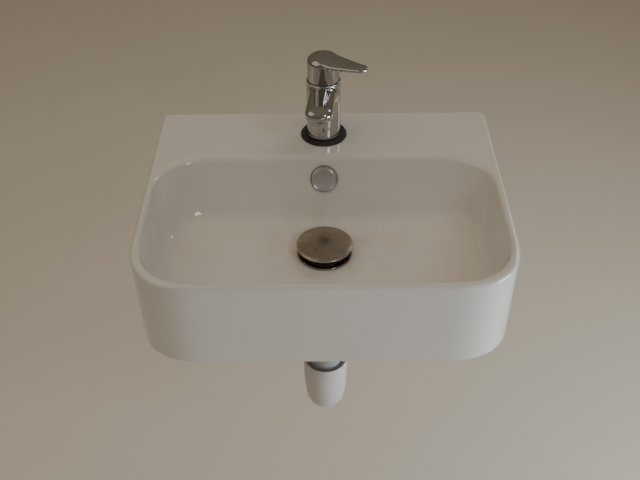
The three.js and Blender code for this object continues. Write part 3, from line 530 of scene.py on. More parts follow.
# %% The ceramic body
outer, inner = outside(), bowl()
share = np.linspace(0, 1, 14)[1:-1, None, None]
ledge = outer[-1] + (inner[0] - outer[-1]) * share
basin = ringed("ceramic", np.concatenate([outer, ledge, inner]))
print("ceramic stack", len(basin.data.vertices), "points")

# %% [markdown]
# ## The hollows under the basin
# A basin is a shell about 10 mm thick. From below it shows a wide hollow under the floor, a deep recess
# behind the bowl for the tap's nut and the wall bolts, and between them the duct that leads the overflow
# down to the waste. So two plugs are cut away, and the duct, cut out of the plugs first, is left standing as
# clay.

# %% Cutting the hollows
SHELL, DECK_THICKNESS, BACK_THICKNESS, WASTE_BOSS, CAP_RADIUS = 10.0, 13.0, 11.0, 15.0, 32.5
PAST = 5.0


def underside():
    """The plug under the floor: the apron's inner outline, drawn in softly to the waste's boss."""
    depth = np.array([APRON_HEIGHT + PAST, 104.0, 97.0, 90.0, 84.0, 80.5])
    inset = np.array([9.0, 9.2, 9.6, 10.5, 14.5, 25.0])
    rings = apron_rings(inset, -inset, depth)
    shares = np.array([[0.25], [0.55], [0.8], [1.0]])
    boss = towards_waste(rings[-1], CAP_RADIUS + 2, WASTE_DEPTH + WASTE_BOSS, shares)
    return smooth_rings(np.concatenate([rings, boss]), 4)


def recess():
    """The plug behind the bowl: one section from side to side, drawn in a little at both ends."""
    wall = LEDGE_DEPTH - SHELL
    half, ease, draw = 189.0, 8.0, 0.16
    section = rounded([
        (-BACK_THICKNESS, APRON_HEIGHT + PAST), (-BACK_THICKNESS, DECK_THICKNESS, 9),
        (-wall + 8, DECK_THICKNESS, 9), (-wall + 2, DECK_THICKNESS + 9, 5), (-wall - 8, 45, 8),
        (-wall - 28, 82, 8), (-wall - 34, APRON_HEIGHT + PAST)])
    middle = np.array([-50.0, 60.0])
    end = np.linspace(0, np.pi / 2, 5)
    turn = np.concatenate([end, end[::-1]])
    x = np.repeat([-1, 1], len(end)) * (half - ease * (1 - np.cos(turn)))
    scale = 1 - draw * (1 - np.sin(turn))
    plan = middle + (section - middle) * scale[:, None, None]
    plan[..., 1] = np.where(section[:, 1] > APRON_HEIGHT, APRON_HEIGHT + PAST, plan[..., 1])
    return grid(x[:, None], plan[..., 0], RIM_Z - plan[..., 1])


def duct():
    """The overflow's duct: an upright body with rounded corners behind the bowl's back wall."""
    half, front, back = 24.0, WASTE_Y + 20, WASTE_Y + 96
    x, y = squarish(circle(64), 2 / 0.35)
    levels = np.array([[RIM_Z - WASTE_DEPTH - WASTE_BOSS], [RIM_Z - DECK_THICKNESS + 1]])
    return grid(half * x, (back - front) / 2 * y + (back + front) / 2, levels)


def drill(radius, low, high, flare=0.0, segments=64):
    """A straight round cutter whose top widens by a small flare, for a softened mouth."""
    top = radius + flare
    return turned([[0, low], [radius, low], [radius, -flare], [top, 0], [top, high], [0, high]], segments)


OVERFLOW_DEPTH, OVERFLOW_HOLE = 24.6, 11.0
overflow_y = -(LEDGE_DEPTH + (OVERFLOW_DEPTH - LEDGE_EDGE) * BACK_LEAN)
OVERFLOW = Matrix.Translation((0, overflow_y, RIM_Z - OVERFLOW_DEPTH)) \
    @ Matrix.Rotation(math.atan2(1, BACK_LEAN), 4, "X")


def in_frame(rings, matrix):
    """Rings carried by a turn and a shift."""
    table = np.array(matrix)
    return rings @ table[:3, :3].T + table[:3, 3]


GAP = 0.3
TAP_Y, TAP_HOLE, GASKET_RADIUS, WASTE_HOLE = -49.0, 17.5, 27.3, 23.0
BOLT_X, BOLT_HOLE, FLARE = 95.0, 7.0, 0.8
for rings in (underside(), recess()):
    plug = ringed("plug", rings)
    cut(plug, duct())
    combine(basin, plug, "DIFFERENCE")
for rings in (
        moved(drill(TAP_HOLE, -DECK_THICKNESS - PAST, PAST), y=TAP_Y, z=RIM_Z),
        moved(drill(GASKET_RADIUS + 0.7, -GAP, PAST), y=TAP_Y, z=RIM_Z),
        moved(drill(WASTE_HOLE, -WASTE_BOSS - PAST, PAST, FLARE), y=WASTE_Y, z=RIM_Z - WASTE_DEPTH),
        in_frame(drill(OVERFLOW_HOLE, -20, 10), OVERFLOW)):
    cut(basin, rings)
for x in (-BOLT_X, BOLT_X):
    cut(basin, along_y(drill(BOLT_HOLE, -BACK_THICKNESS - PAST, PAST, FLARE, 48), x=x))
print("ceramic after cutting", len(basin.data.vertices), "points")

# %% [markdown]
# ## The glaze
# Sanitary glaze is a clear glass over white clay: smooth, a little wavy, and warm where it collects a film
# of soap and lime round the waste. A dark ring round the overflow's cover is painted shade, for the gap at
# its edge. The back and the skirt's underside stay unglazed, because the basin stands on them in the kiln.

# %% Glaze
def from_cover(paint):
    """The distance of a point from the middle of the overflow's cover."""
    _, y, z = OVERFLOW.translation * MM
    return paint.reach(paint.x, paint.y - y, paint.z - z)


def glaze_paint():
    paint = Paint("glaze", "ceramic", IOR=1.52, Coat_Roughness=0.03)
    from_waste = paint.reach(paint.x, paint.y - WASTE_Y * MM)
    film = (1 - from_waste.rise(0.03, 0.12)) * paint.noise(55, 4).rise(0.35, 0.75)
    film = film * (1 - paint.z.rise(0.0, 0.03))
    cloud = paint.noise(6, 2)
    # painted shade: a dark ring on the glaze just round the overflow's cover, where its gap shades it
    gap_shade = 1 - from_cover(paint).rise(0.0153, 0.0172)
    white = paint.mix(cloud, (0.70, 0.68, 0.645), (0.735, 0.715, 0.68))
    tinted = paint.mix(film * 0.35, white, (0.56, 0.51, 0.43))
    tinted = paint.mix(gap_shade * 0.7, tinted, (0.17, 0.15, 0.12))
    bare = paint.math("MAXIMUM", paint.y.rise(-0.0008, -0.0003), 1 - paint.z.rise(-0.0516, -0.0508))
    grain = paint.noise(900, 2)
    clay = paint.mix(grain, (0.62, 0.58, 0.52), (0.74, 0.70, 0.64))
    paint.surface(
        Base_Color=paint.mix(bare, tinted, clay),
        Roughness=0.07 + film * 0.16 + cloud * 0.03 + bare * 0.55,
        Coat_Weight=0.4 - bare * 0.4)
    paint.bump(paint.noise(38, 2) * (1 - bare) + grain * bare * 0.5, 0.00025)
    return paint


settle(basin, glaze_paint(), "fixed", "basin", crease=40.0)

# %% [markdown]
# ## Tools for the metal parts
# Three shapes come back on every fitting. A branch that grows out of a round body has a soft fillet at its
# root: its first rings lie on the body's surface and bend over into the branch. A screw thread is a turned
# part whose radius follows a wave that climbs one pitch in each turn. A nut's outline has six flats or grip
# ribs.

# %% Branches, threads and nuts
SPOKES, BITE = 96, 0.03


def sections(power, half, thick, centre, reach):
    """A branch's sections as [across, up, forward], from half their width and thickness, centre and reach."""
    x, y = squarish(circle(SPOKES), power)
    half, thick, centre, reach = (np.asarray(v, dtype=float)[..., None] for v in (half, thick, centre, reach))
    return grid(x * half, y * thick + centre, reach)


def rooted(half, thick, centre, power, skin, out, along, steps=7, sunk=3):
    """Sections that leave a turned body with a fillet, after one that is sunk into it.

    While an angle goes from 0 to 90 degrees, the section is pushed outwards by out * (1 - sin) and forward by
    along * (1 - cos). skin lists the body's [radius, height].
    """
    x, y = squarish(circle(SPOKES), power)
    turn = np.linspace(0, np.pi / 2, steps)[:, None]
    width_out, up_out, down_out = out
    push = np.where(y > 0, up_out, down_out)
    across = x * (half + width_out * (1 - np.sin(turn)))
    up = y * (thick + push * (1 - np.sin(turn))) + centre
    radius = np.interp(up, skin[:, 1], skin[:, 0])
    forward = np.sqrt(np.maximum(radius ** 2 - across ** 2, 0)) - BITE + along * (1 - np.cos(turn))
    root = grid(across, up, forward)
    return np.concatenate([root[[0]] * [1, 1, 0] + [0, 0, sunk], root])


def placed(rings, forward, origin):
    """Turns [across, up, forward] into the part's axes; forward is a level unit vector."""
    ahead = np.array(forward, dtype=float)
    across = np.cross((0, 0, 1), ahead)
    up = np.cross(ahead, across)
    return rings[..., [0]] * across + rings[..., [1]] * up + rings[..., [2]] * ahead + np.array(origin)


THREAD_STEPS = 8


def thread(heights, low, high, pitch, angle):
    """A thread's depth at each height and angle, from 0 to 1, and how far it has faded at its ends."""
    wave = 0.5 - 0.5 * np.cos(2 * np.pi * heights / pitch - angle)
    fade = np.clip(np.minimum(heights - low, high - heights) / pitch, 0, 1)
    return wave * fade, 1 - fade


def threaded(radius, low, high, pitch, depth):
    """A rod with a screw thread and thinner ends without one."""
    heights = np.linspace(low, high, int((high - low) / pitch * THREAD_STEPS) + 1)[:, None]
    angle = circle(72)
    wave, faded = thread(heights, low, high, pitch, angle)
    rings = around(radius - depth * (wave + 0.8 * faded ** 2), angle, heights)
    axis = np.zeros((1, len(angle), 3))
    return np.concatenate([axis + [0, 0, low], rings, axis + [0, 0, high]])


def nut(outline_of, low, high, *inside, segments=240):
    """A nut as a closed stack. outline_of(angle, distance to the nearer end) gives its outer radius.

    inside lists the [radius, height] corners of its bore, from the top down.
    """
    angle = circle(segments)
    inward = np.array([0, 0.25, 0.6, 1.0, 1.5])
    heights = np.concatenate([low + inward, (high - inward)[::-1]])[:, None]
    outer = outline_of(angle, np.minimum(heights - low, high - heights))
    bore, bore_heights = np.array(inside, dtype=float).T[..., None]
    reach = np.concatenate([outer, bore + np.zeros(segments)])
    return around(reach, angle, np.concatenate([heights, bore_heights]))


def hexagon_nut(flats, radius, low, high, segments):
    """Six flats, a chamfered bore, and a cone that cuts the corners back near both faces."""
    def outline_of(angle, inward):
        flat = flats / 2 / np.cos(np.mod(angle, np.pi / 3) - np.pi / 6)
        return np.minimum(flat, flats / 2 * 0.985 + 1.73 * inward)
    edge = 0.7
    bore = (radius + edge, high), (radius, high - edge), (radius, low + edge), (radius + edge, low)
    return nut(outline_of, low, high, *bore, segments=segments)


def ribbed_nut(radius, low, high, *inside):
    """Twelve grip ribs: a smooth wave that is flattened on its crests and in its valleys."""
    rib, count, shift = 1.5, 12, math.radians(3.75)

    def outline_of(angle, inward):
        wave = np.clip(0.5 + 1.1 * np.cos(count * (angle - shift)), 0, 1)
        wave = wave * wave * (3 - 2 * wave)
        ease = np.sqrt(1 - (1 - np.clip(inward, 0, 1)) ** 2)
        return radius + rib * wave - 0.6 * (1 - ease)
    return nut(outline_of, low, high, *inside)


# %% [markdown]
# ## The tap
# The body is one chromed casting: a turned column, with a round cup on top in which the lever's hub tilts,
# and a short, slightly flattened spout as a branch. The spout's nose closes as a quarter of an egg: reach
# grows with the sine of an angle while width and thickness shrink with powers of its cosine.

# %% Tap body
TAP, STUD = (0.0, TAP_Y, RIM_Z), (0.0, TAP_Y + 8, RIM_Z)
TAP_BASE, TAP_RADIUS, SHOULDER, PIVOT = 3.2, 19.8, 75.0, 78.0
CUP_RADIUS, CUP_FLOOR = 19.2, 66.0
SPOUT_TURN = math.radians(-5)
SPOUT_WAY = (math.sin(SPOUT_TURN), -math.cos(SPOUT_TURN), 0)
AERATOR_REACH, AERATOR_RADIUS, AERATOR_LOW, SOCKET_TOP = 60.0, 11.6, 54.0, 62.0
NOSE = (AERATOR_REACH * SPOUT_WAY[0], TAP_Y + AERATOR_REACH * SPOUT_WAY[1], RIM_Z)
INLET_X, INLET_Y, INLET_RADIUS, INLET_TOP = 6.5, TAP_Y - 5.5, 4.2, 16
STUD_BORE = 5.1


def tap_column():
    """The column's outside from its sunk foot to the shoulder, then down into the cup."""
    mouth, foot = (math.acos((PIVOT - level) / CUP_RADIUS) for level in (SHOULDER, CUP_FLOOR))
    cup = np.linspace(mouth, foot, 12)
    profile = rounded([
        (0, -2.8), (15, -2.8, 0.6), (15, TAP_BASE, 0.3), (20.2, TAP_BASE, 0.4), (20.2, 5.2, 0.8),
        (TAP_RADIUS, 6.4, 0.8), (TAP_RADIUS, SHOULDER - 0.4, 0.4), (TAP_RADIUS - 0.4, SHOULDER, 0.2)])
    bowl = grid(CUP_RADIUS * np.sin(cup), PIVOT - CUP_RADIUS * np.cos(cup))
    return turned(np.concatenate([profile, bowl, [[0, CUP_FLOOR]]]), 144)


def spout():
    """The root's fillet, a barrel that climbs and thins a little, and the nose."""
    half, power, last, top = 15.5, 2.6, 9.5, 65.0
    column = np.array([[TAP_RADIUS, 0.0]])
    root = rooted(half, 12.0, 61.3, power, column, (3.4, 1.4, 5.0), 5.0)
    reach, marks = np.linspace(27, 60, 10), [25, 32, 50, 65]
    thick = np.interp(reach, marks, [11.6, 10.5, 9.7, last])
    centre = np.interp(reach, marks, [61.8, 63, 64.5, top])
    barrel = sections(power, half, thick, centre, reach)
    egg = np.linspace(0, np.pi / 2, 14)
    width, height = np.cos(egg) ** 0.75, np.cos(egg) ** 0.85
    width[-1] = height[-1] = 0.0
    nose = sections(power, half * width, last * height, top, 62.5 + 12.5 * np.sin(egg))
    return placed(np.concatenate([root, barrel, nose]), SPOUT_WAY, TAP)


tap_body = ringed("tap_body", moved(tap_column(), *TAP))
join(tap_body, spout())
cut(tap_body, moved(rod(AERATOR_RADIUS, 40, SOCKET_TOP), *NOSE))
for place, radius, top in (
        (STUD, STUD_BORE, 22), ((-INLET_X, INLET_Y, RIM_Z), INLET_RADIUS, INLET_TOP),
        ((INLET_X, INLET_Y, RIM_Z), INLET_RADIUS, INLET_TOP)):
    bore = turned([[0, -8], [radius, -8], [radius, top - 1], [0, top + 1]], 48)
    cut(tap_body, moved(bore, *place))

# %% [markdown]
# ## Chrome
# Chrome is a mirror, so its looks come from what stands round it and from small faults: dried water drops
# with a pale ring, a faint haze where hands wipe it, and hairline scratches. The base colour stays dark
# enough for the mirrored room to show stripes, as in the photograph.

# %% Chrome
def chrome_paint(name, tone=(0.50, 0.49, 0.48), worn=0.5, polish=0.09, stain=None, gap_shade=False):
    """Chrome of a tone; a stain colour clouds it, and a flag paints shade on the outer rim of the overflow's
    cover.
    """
    paint = Paint(name, "chrome")
    distance = paint.spots(210)
    drop = (1 - distance.rise(0.16, 0.30)) * paint.noise(40, 1).rise(0.48, 0.60)
    ring = drop * distance.rise(0.08, 0.17)
    haze = paint.noise(28, 3).rise(0.42, 0.75)
    scratch = paint.noise(150, 2, (1, 1, 14)).rise(0.60, 0.72)
    dull = tuple(0.80 * c for c in tone)
    colour = paint.mix(ring * 0.5 * worn, tone, (0.74, 0.73, 0.70))
    colour = paint.mix(haze * 0.5 * worn, colour, dull)
    if stain:
        colour = paint.mix(paint.noise(60, 4).rise(0.38, 0.70), colour, stain)
    # painted shade: the outer rim of the overflow's cover is darkened, where the gap against the bowl shades
    # it
    if gap_shade:
        colour = paint.mix(from_cover(paint).rise(0.0146, 0.0152) * 0.8, colour, (0.08, 0.07, 0.06))
    paint.surface(
        Base_Color=colour, Metallic=1.0 - ring * 0.15 * worn,
        Roughness=polish + haze * 0.09 * worn + drop * 0.10 * worn + scratch * 0.05)
    paint.bump(paint.noise(90, 2) + ring * 0.4, 0.00004)
    return paint


chrome = chrome_paint("chrome")
settle(tap_body, chrome, "fixed", "tap_body", crease=32.0)

# %% [markdown]
# ## The lever
# The lever is cast too: a domed hub that flows into a blade. The blade is a branch whose root lies on the
# dome, nearly as wide as the hub, with a long flat fillet above, so that the top reads as one surface.
# Below, the hub ends as part of a ball round the tilting axis, so it can turn in the body's cup without a
# gap.

# %% Lever
HUB_RADIUS, HUB_TOP, SKIRT_LOW, CAVITY_RADIUS, CAVITY_TOP = 18.7, 107.0, 74.4, 16.2, 93.0
LEVER_AZIMUTH = math.radians(-33)
LEVER_WAY = (math.cos(LEVER_AZIMUTH), math.sin(LEVER_AZIMUTH), 0)
STEM_HALF, STEM_LOW = 2.6, 76.0


def dome():
    """The hub's outside: a ball below the axis, a straight band, and a quarter of a flattened egg."""
    ball = np.linspace(math.asin((SKIRT_LOW - PIVOT) / HUB_RADIUS), 0, 6)
    skirt = grid(HUB_RADIUS * np.cos(ball), PIVOT + HUB_RADIUS * np.sin(ball))
    band_top, egg = 97.5, np.linspace(0, np.pi / 2, 28)
    crown = grid(HUB_RADIUS * np.cos(egg) ** 0.85, band_top + (HUB_TOP - band_top) * np.sin(egg))
    crown[-1, 0] = 0.0
    return np.concatenate([skirt, crown])


def paddle():
    """A blade, in plan like a drop, that thins from its root while its top climbs slowly."""
    power, start, tip, length = 2.3, 24, 8.3, 58.0
    thick_at = lambda reach: np.interp(reach, [start, 33, 46, length], [4.3, 4.0, 3.1, 2.8])
    root = rooted(15.2, thick_at(start), 99.3, power, dome(), (1.2, 2.4, 1.5), 6.5, steps=9, sunk=2)
    straight = np.linspace(26.0, length - tip, 9)
    end = np.linspace(0, np.pi / 2, 12)[1:]
    reach = np.concatenate([straight, length - tip + tip * np.sin(end)])
    half, thick = np.interp(reach, [17, length - tip], [15.3, tip]), thick_at(reach)
    centre = 103.6 + 0.04 * (reach - start) - thick
    half[len(straight):] *= np.cos(end)
    thick[len(straight):] *= np.cos(end) ** 0.4
    half[-1] = thick[-1] = 0.0
    return placed(np.concatenate([root, sections(power, half, thick, centre, reach)]), LEVER_WAY, TAP)


cavity = rounded([(0, CAVITY_TOP), (CAVITY_RADIUS, CAVITY_TOP, 3), (CAVITY_RADIUS, SKIRT_LOW)])
tap_lever = ringed("tap_lever", moved(turned(np.concatenate([cavity, dome()]), 144), *TAP))
join(tap_lever, paddle())
corner, stem_top = math.sqrt(2) * STEM_HALF, CAVITY_TOP + 5
stem = turned(
    [[0, STEM_LOW], [corner - 0.5, STEM_LOW], [corner, STEM_LOW + 0.5], [corner, stem_top], [0, stem_top]], 4)
join(tap_lever, moved(in_frame(stem, Matrix.Rotation(LEVER_AZIMUTH + math.pi / 4, 4, "Z")), *TAP))
settle(tap_lever, chrome, "lever", "tap_lever", crease=32.0)

# %% [markdown]
# ## Rubber, plastic and plain metals
# Rubber is nearly black, dull and a little dusty. Moulded plastic is glossy with faint flow marks.
# Zinc-plated steel is cloudy, and brass tarnishes brown in patches. Each recipe is the same few steps with
# other numbers: clouds for the colour, finer clouds for the gloss, and a shallow bump.

# %% Rubber, plastic and plain metals
def plain_paint(name, light, dark, cloud, gloss, grain, metal=0.0, slot=None):
    """Two colours blended by clouds of a scale, a range of gloss, and a grain: a bump's scale and depth."""
    paint = Paint(name, slot, Metallic=metal)
    clouds = paint.noise(cloud, 4).rise(0.32, 0.70)
    fine = paint.noise(cloud * 6)
    paint.surface(
        Base_Color=paint.mix(clouds, light, dark),
        Roughness=gloss[0] + (gloss[1] - gloss[0]) * (0.5 * clouds + 0.5 * fine))
    paint.bump(paint.noise(grain[0]), grain[1])
    return paint


black_rubber = plain_paint(
    "black_rubber", (0.012, 0.011, 0.011), (0.045, 0.042, 0.040), 45, (0.42, 0.75), (700, 0.00006))
grey_rubber = plain_paint(
    "grey_rubber", (0.055, 0.055, 0.058), (0.11, 0.108, 0.10), 60, (0.55, 0.85), (700, 0.00006))
white_plastic = plain_paint(
    "white_plastic", (0.66, 0.635, 0.63), (0.60, 0.575, 0.56), 22, (0.20, 0.36), (240, 0.00004))
# A darker copy of the white plastic, as painted shade, for the trap's upper body and the tap's cartridge.
shaded_plastic = plain_paint(
    "shaded_plastic", (0.44, 0.44, 0.45), (0.37, 0.365, 0.36), 22, (0.30, 0.48), (240, 0.00004),
    slot="white_plastic")
nylon = plain_paint("nylon", (0.62, 0.60, 0.53), (0.52, 0.50, 0.43), 80, (0.35, 0.55), (500, 0.00004))
steel = plain_paint("steel", (0.50, 0.51, 0.53), (0.36, 0.36, 0.36), 120, (0.24, 0.46), (800, 0.00003), 1.0)
brass = plain_paint("brass", (0.55, 0.39, 0.17), (0.30, 0.19, 0.09), 90, (0.24, 0.48), (600, 0.00003), 1.0)
print("finishes", sorted(m.name for m in bpy.data.materials if m.use_nodes))

# %% [markdown]
# ## What stands on and under the tap ledge
# The black gasket is the wide dark ring at the tap's foot. The outlet insert under the nose is a chrome ring
# round a fine plastic mesh. Below the ledge, a threaded stud pulls the tap down against two horseshoe
# washers; their slots let the two water hoses pass. The lever's carrier hardly shows, so it stays the frame's
# own solid and is only given the look of nylon.

# %% Gasket, outlet insert, cartridge
gasket = rounded([(15.3, 0.0, 0.3), (GASKET_RADIUS, 0.0, 0.4), (GASKET_RADIUS, 2.9, 1.1), (15.3, 2.9, 0.3)])
finished("tap_gasket", moved(turned(gasket, 128), *TAP), black_rubber)


def aerator():
    """A ring with a rolled lip and, set back in it, a mesh plate of low concentric waves."""
    radius, face, lip, top = AERATOR_RADIUS - GAP, AERATOR_LOW + 1.6, AERATOR_RADIUS - 3.2, SOCKET_TOP - GAP
    r = np.linspace(0, lip - 0.3, 40)
    plate = grid(r, face + 0.18 * np.cos(2 * np.pi * r / 1.4))
    ring = rounded([
        (lip, face + 0.4), (lip, AERATOR_LOW + 0.3, 0.5), (lip + 0.8, AERATOR_LOW, 0.5),
        (radius, AERATOR_LOW, 0.9), (radius, top, 0.4), (0, top)])
    return turned(np.concatenate([plate, ring]))


def mesh_paint():
    """Chrome outside a radius and dark moulded mesh inside it: two waves of holes that cross squarely, with
    painted shade: the holes are coloured near black.
    """
    paint = Paint("outlet_mesh", "steel")
    inside = 1 - paint.reach(paint.x - NOSE[0] * MM, paint.y - NOSE[1] * MM).rise(0.0081, 0.0085)
    step = 2 * math.pi / 0.0014
    waves = paint.math("SINE", paint.x * step) * paint.math("SINE", paint.y * step)
    # painted shade: the mesh's holes are coloured near black
    hole_shade = waves.rise(0.0, 0.35) * inside
    colour = paint.mix(inside, (0.50, 0.50, 0.50), (0.24, 0.24, 0.25))
    paint.surface(
        Base_Color=paint.mix(hole_shade, colour, (0.02, 0.02, 0.02)), Metallic=1 - inside,
        Roughness=0.07 + paint.noise(40) * 0.08 + inside * 0.25)
    paint.bump(1 - hole_shade, 0.0003)
    return paint


finished("tap_aerator", moved(aerator(), *NOSE), mesh_paint())
cartridge = rounded([
    (0, 66.3), (13, 66.3, 0.6), (13, 84.5, 0.6), (11.5, 86, 0.6), (9.3, 86, 0.3), (9.3, 71, 0.3), (0, 71)])
finished("tap_cartridge", moved(turned(cartridge), *TAP), shaded_plastic)
for slot_of_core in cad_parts["lever_carrier"].material_slots:
    slot_of_core.material = nylon.material

# %% Stud, horseshoe washers, nut
def horseshoe(name, low, high, edge, paint):
    """A round plate with softened edges, cut by a round-ended slot and a hole for the stud."""
    radius, slot, past = 22, 10, 2
    plate = rounded([(0, low), (radius, low, edge), (radius, high, edge), (0, high)], 4)
    washer = ringed(name, moved(turned(plate, 128), *TAP))
    x, y = slot * np.cos(circle(64)), slot * np.sin(circle(64))
    open_end = np.where(y > 0, y - slot, -30)
    cut(washer, moved(grid(x, open_end, np.array([[low - past], [high + past]])), *TAP))
    cut(washer, moved(rod(STUD_BORE, low - past, high + past, 48), *STUD))
    settle(washer, paint, "fixed", name)


finished("tap_stud", moved(threaded(4.8, -58, 21.7, 1.25, 0.7), *STUD), brass)
horseshoe("tap_rubber_washer", -16.3, -13.3, 0.5, grey_rubber)
horseshoe("tap_steel_washer", -18.6, -16.6, 0.3, steel)
finished("tap_nut", moved(hexagon_nut(17, STUD_BORE, -28.9, -18.9, 120), *STUD), brass)

# %% [markdown]
# ## Overflow cover
# The bowl's back wall leans, so the cover is turned on a frame of its own that leans with it. It is a
# shallow disc inside a thin rolled ring, with a narrow dark gap between them where water can pass.

# %% Overflow cover
cover = rounded([
    (0, 0.9), (9.2, 0.9, 0.2), (9.2, -12, 0.2), (10.7, -12, 0.3), (10.7, 0.9), (14.8, 0.9, 0.3),
    (15.4, 1.7, 0.5), (15, 2.9, 0.5), (14.4, 3.2, 0.4), (13.8, 2.7, 0.3), (13.6, 1.2, 0.2), (12, 1.2, 0.2),
    (11.9, 2.1, 0.35), (0, 2.5)])
# The cover's chrome is a paler copy of the tap's, as painted light for the bright bowl it mirrors, with
# painted shade on its rim.
lit_cover_chrome = chrome_paint("chrome_cover_lit", tone=(0.86, 0.88, 0.93), worn=1.0, polish=0.20, gap_shade=True)
finished("overflow_cover", in_frame(turned(cover, 128), OVERFLOW), lit_cover_chrome, crease=40.0)

# %% [markdown]
# ## The waste
# The waste's body is turned and chromed: a flange on the bowl's floor, a funnel, and a tail with a pipe
# thread. Two windows in the tail let the overflow's water in, and a cross with a boss guides the plug's
# stem. The plug is a shallow dome with a rolled edge. Water has stained it brown in patches, it is darker
# at its middle, and it stands open.

# %% Waste body and plug
WASTE = (0.0, WASTE_Y, RIM_Z - WASTE_DEPTH)
TAIL_RADIUS, TAIL_BORE, TAIL_END, FLANGE_TOP = 21.0, 18.5, -72.0, 2.9


def waste_shell():
    """A closed stack: outside up with a thread on the tail, over the flange, down the funnel and the bore."""
    pitch, depth, thread_top, segments = 2.309, 1.1, -16.5, 144
    heights = np.arange(TAIL_END, thread_top, pitch / THREAD_STEPS)[:, None]
    wave, faded = thread(heights, TAIL_END, thread_top, pitch, circle(segments))
    tail = around(TAIL_RADIUS - 0.02 - depth * wave - 0.5 * faded, circle(segments), heights)
    upper = rounded([
        (TAIL_RADIUS, thread_top + 0.5), (TAIL_RADIUS, 0.3, 0.3), (31, 0.3, 0.3), (32, 1.3, 0.5),
        (31.5, FLANGE_TOP, 0.7), (24, FLANGE_TOP, 1.2), (TAIL_BORE, -2.5, 3), (TAIL_BORE, TAIL_END, 0.3)])
    return np.concatenate([tail, turned(upper, segments)])


def bar(width, depth):
    """One bar of the guide cross: a box about the Z axis, as two rings of four corners."""
    corners = np.array([[1, 1], [-1, 1], [-1, -1], [1, -1]]) * (width / 2, depth / 2)
    return grid(*corners.T, np.array([[-26.0], [-20.0]]))


waste_body = ringed("waste_body", moved(waste_shell(), *WASTE), closed=True)
window_y, window_z = squarish(circle(48), 5)
window = grid(np.array([[-32.0], [32.0]]), 6.0 * window_y, 4.0 * window_z - 7)
cut(waste_body, moved(window, *WASTE))
BAR_LENGTH, BAR_WIDTH = 2 * TAIL_BORE + 2, 3
for size in ((BAR_LENGTH, BAR_WIDTH), (BAR_WIDTH, BAR_LENGTH)):
    join(waste_body, moved(bar(*size), *WASTE))
boss = turned(rounded([(0, -26), (7, -26, 0.6), (7, -14, 1.0), (0, -14)]), 64)
join(waste_body, moved(boss, *WASTE))
cut(waste_body, moved(rod(4.3, -30, 0, 48), *WASTE))
# painted shade: the waste's chrome gets a dark tone and a darker stain colour, for the shade under the open
# plug
shaded_waste_chrome = chrome_paint("chrome_waste_shaded", tone=(0.32, 0.29, 0.26), worn=1.0, stain=(0.20, 0.17, 0.14))
settle(waste_body, shaded_waste_chrome, "fixed", "waste_body", crease=40.0)


def plug():
    """The dome falls from its middle with the 1.9th power of the radius; a rolled bead closes the edge."""
    r = np.linspace(30.2, 0, 30)
    crown = grid(r, 18.5 - 3.6 * (r / 29.5) ** 1.9)
    turn, radius = np.linspace(-np.pi / 2, np.pi * 0.62, 12), 1.1
    bead = grid(31.4 + radius * np.cos(turn), 13.0 + radius * np.sin(turn))
    below = rounded([
        (0, -29), (4, -29, 0.6), (4, 10.9, 0.8), (14, 10.9, 0.3), (15, 9.4, 0.5), (17, 9.4, 0.5),
        (17.5, 11.9, 0.5), (30.8, 12.2, 0.3)])
    return turned(np.concatenate([below, bead, crown]), 128)


def stained_paint():
    """Brown patches that stop at the bright edge, a darker middle, pale dried spots and fine scratches."""
    paint = Paint("stained_metal", "chrome")
    from_middle = paint.reach(paint.x, paint.y - WASTE_Y * MM)
    patches = paint.noise(70, 5).rise(0.34, 0.66)
    middle = 1 - from_middle.rise(0.002, 0.011)
    edge = from_middle.rise(0.0300, 0.0312)
    tone = paint.mix(patches, (0.48, 0.41, 0.335), (0.33, 0.265, 0.20))
    tone = paint.mix(middle * 0.6, tone, (0.13, 0.10, 0.08))
    spots = 1 - paint.spots(260).rise(0.10, 0.22)
    tone = paint.mix(spots * patches * 0.5, tone, (0.50, 0.47, 0.43))
    scratch = paint.noise(220, 3, (1, 9, 1)).rise(0.55, 0.75)
    paint.surface(
        Base_Color=paint.mix(edge * 0.8, tone, (0.52, 0.50, 0.47)),
        Metallic=1.0 - 0.25 * patches * (1 - edge),
        Roughness=0.24 + 0.16 * patches - 0.10 * edge + 0.06 * scratch)
    paint.bump(patches * 0.6 + scratch * 0.4, 0.00006)
    return paint


finished("waste_cap", moved(plug(), *WASTE), stained_paint(), body="plug", crease=40.0)

# %% Washer and back nut
seal = turned(rounded([(21.3, -19.3, 0.3), (30, -19.3, 0.8), (30, -15.3, 0.8), (21.3, -15.3, 0.3)]), 128)
finished("waste_rubber_washer", moved(seal, *WASTE), grey_rubber)
finished("waste_back_nut", moved(hexagon_nut(54, 21.3, -27.6, -19.6, 240), *WASTE), brass)

# %% [markdown]
# ## The bottle trap
# The waste's tail ends in a ribbed nut, a dip tube runs down into a round-bottomed cup that unscrews, and a
# branch with a fillet leaves the body towards the wall. All of it is moulded white plastic. The upper body
# has a darker grey copy of it, as painted shade, and the cup's collar stands round it with a dark open
# groove.

# %% Trap
TRAP = (0.0, WASTE_Y, RIM_Z)
PIPE, PIPE_BORE, BRANCH, OUTLET = 16.0, 14.0, 19.1, -225.0
BODY_TOP, COLLAR_TOP, CUP_FOOT, TUBE_TOP = -202.0, -251.0, -330.0, -152.3


def toward_wall(rings):
    return along_y(rings, y=WASTE_Y, z=RIM_Z + OUTLET)


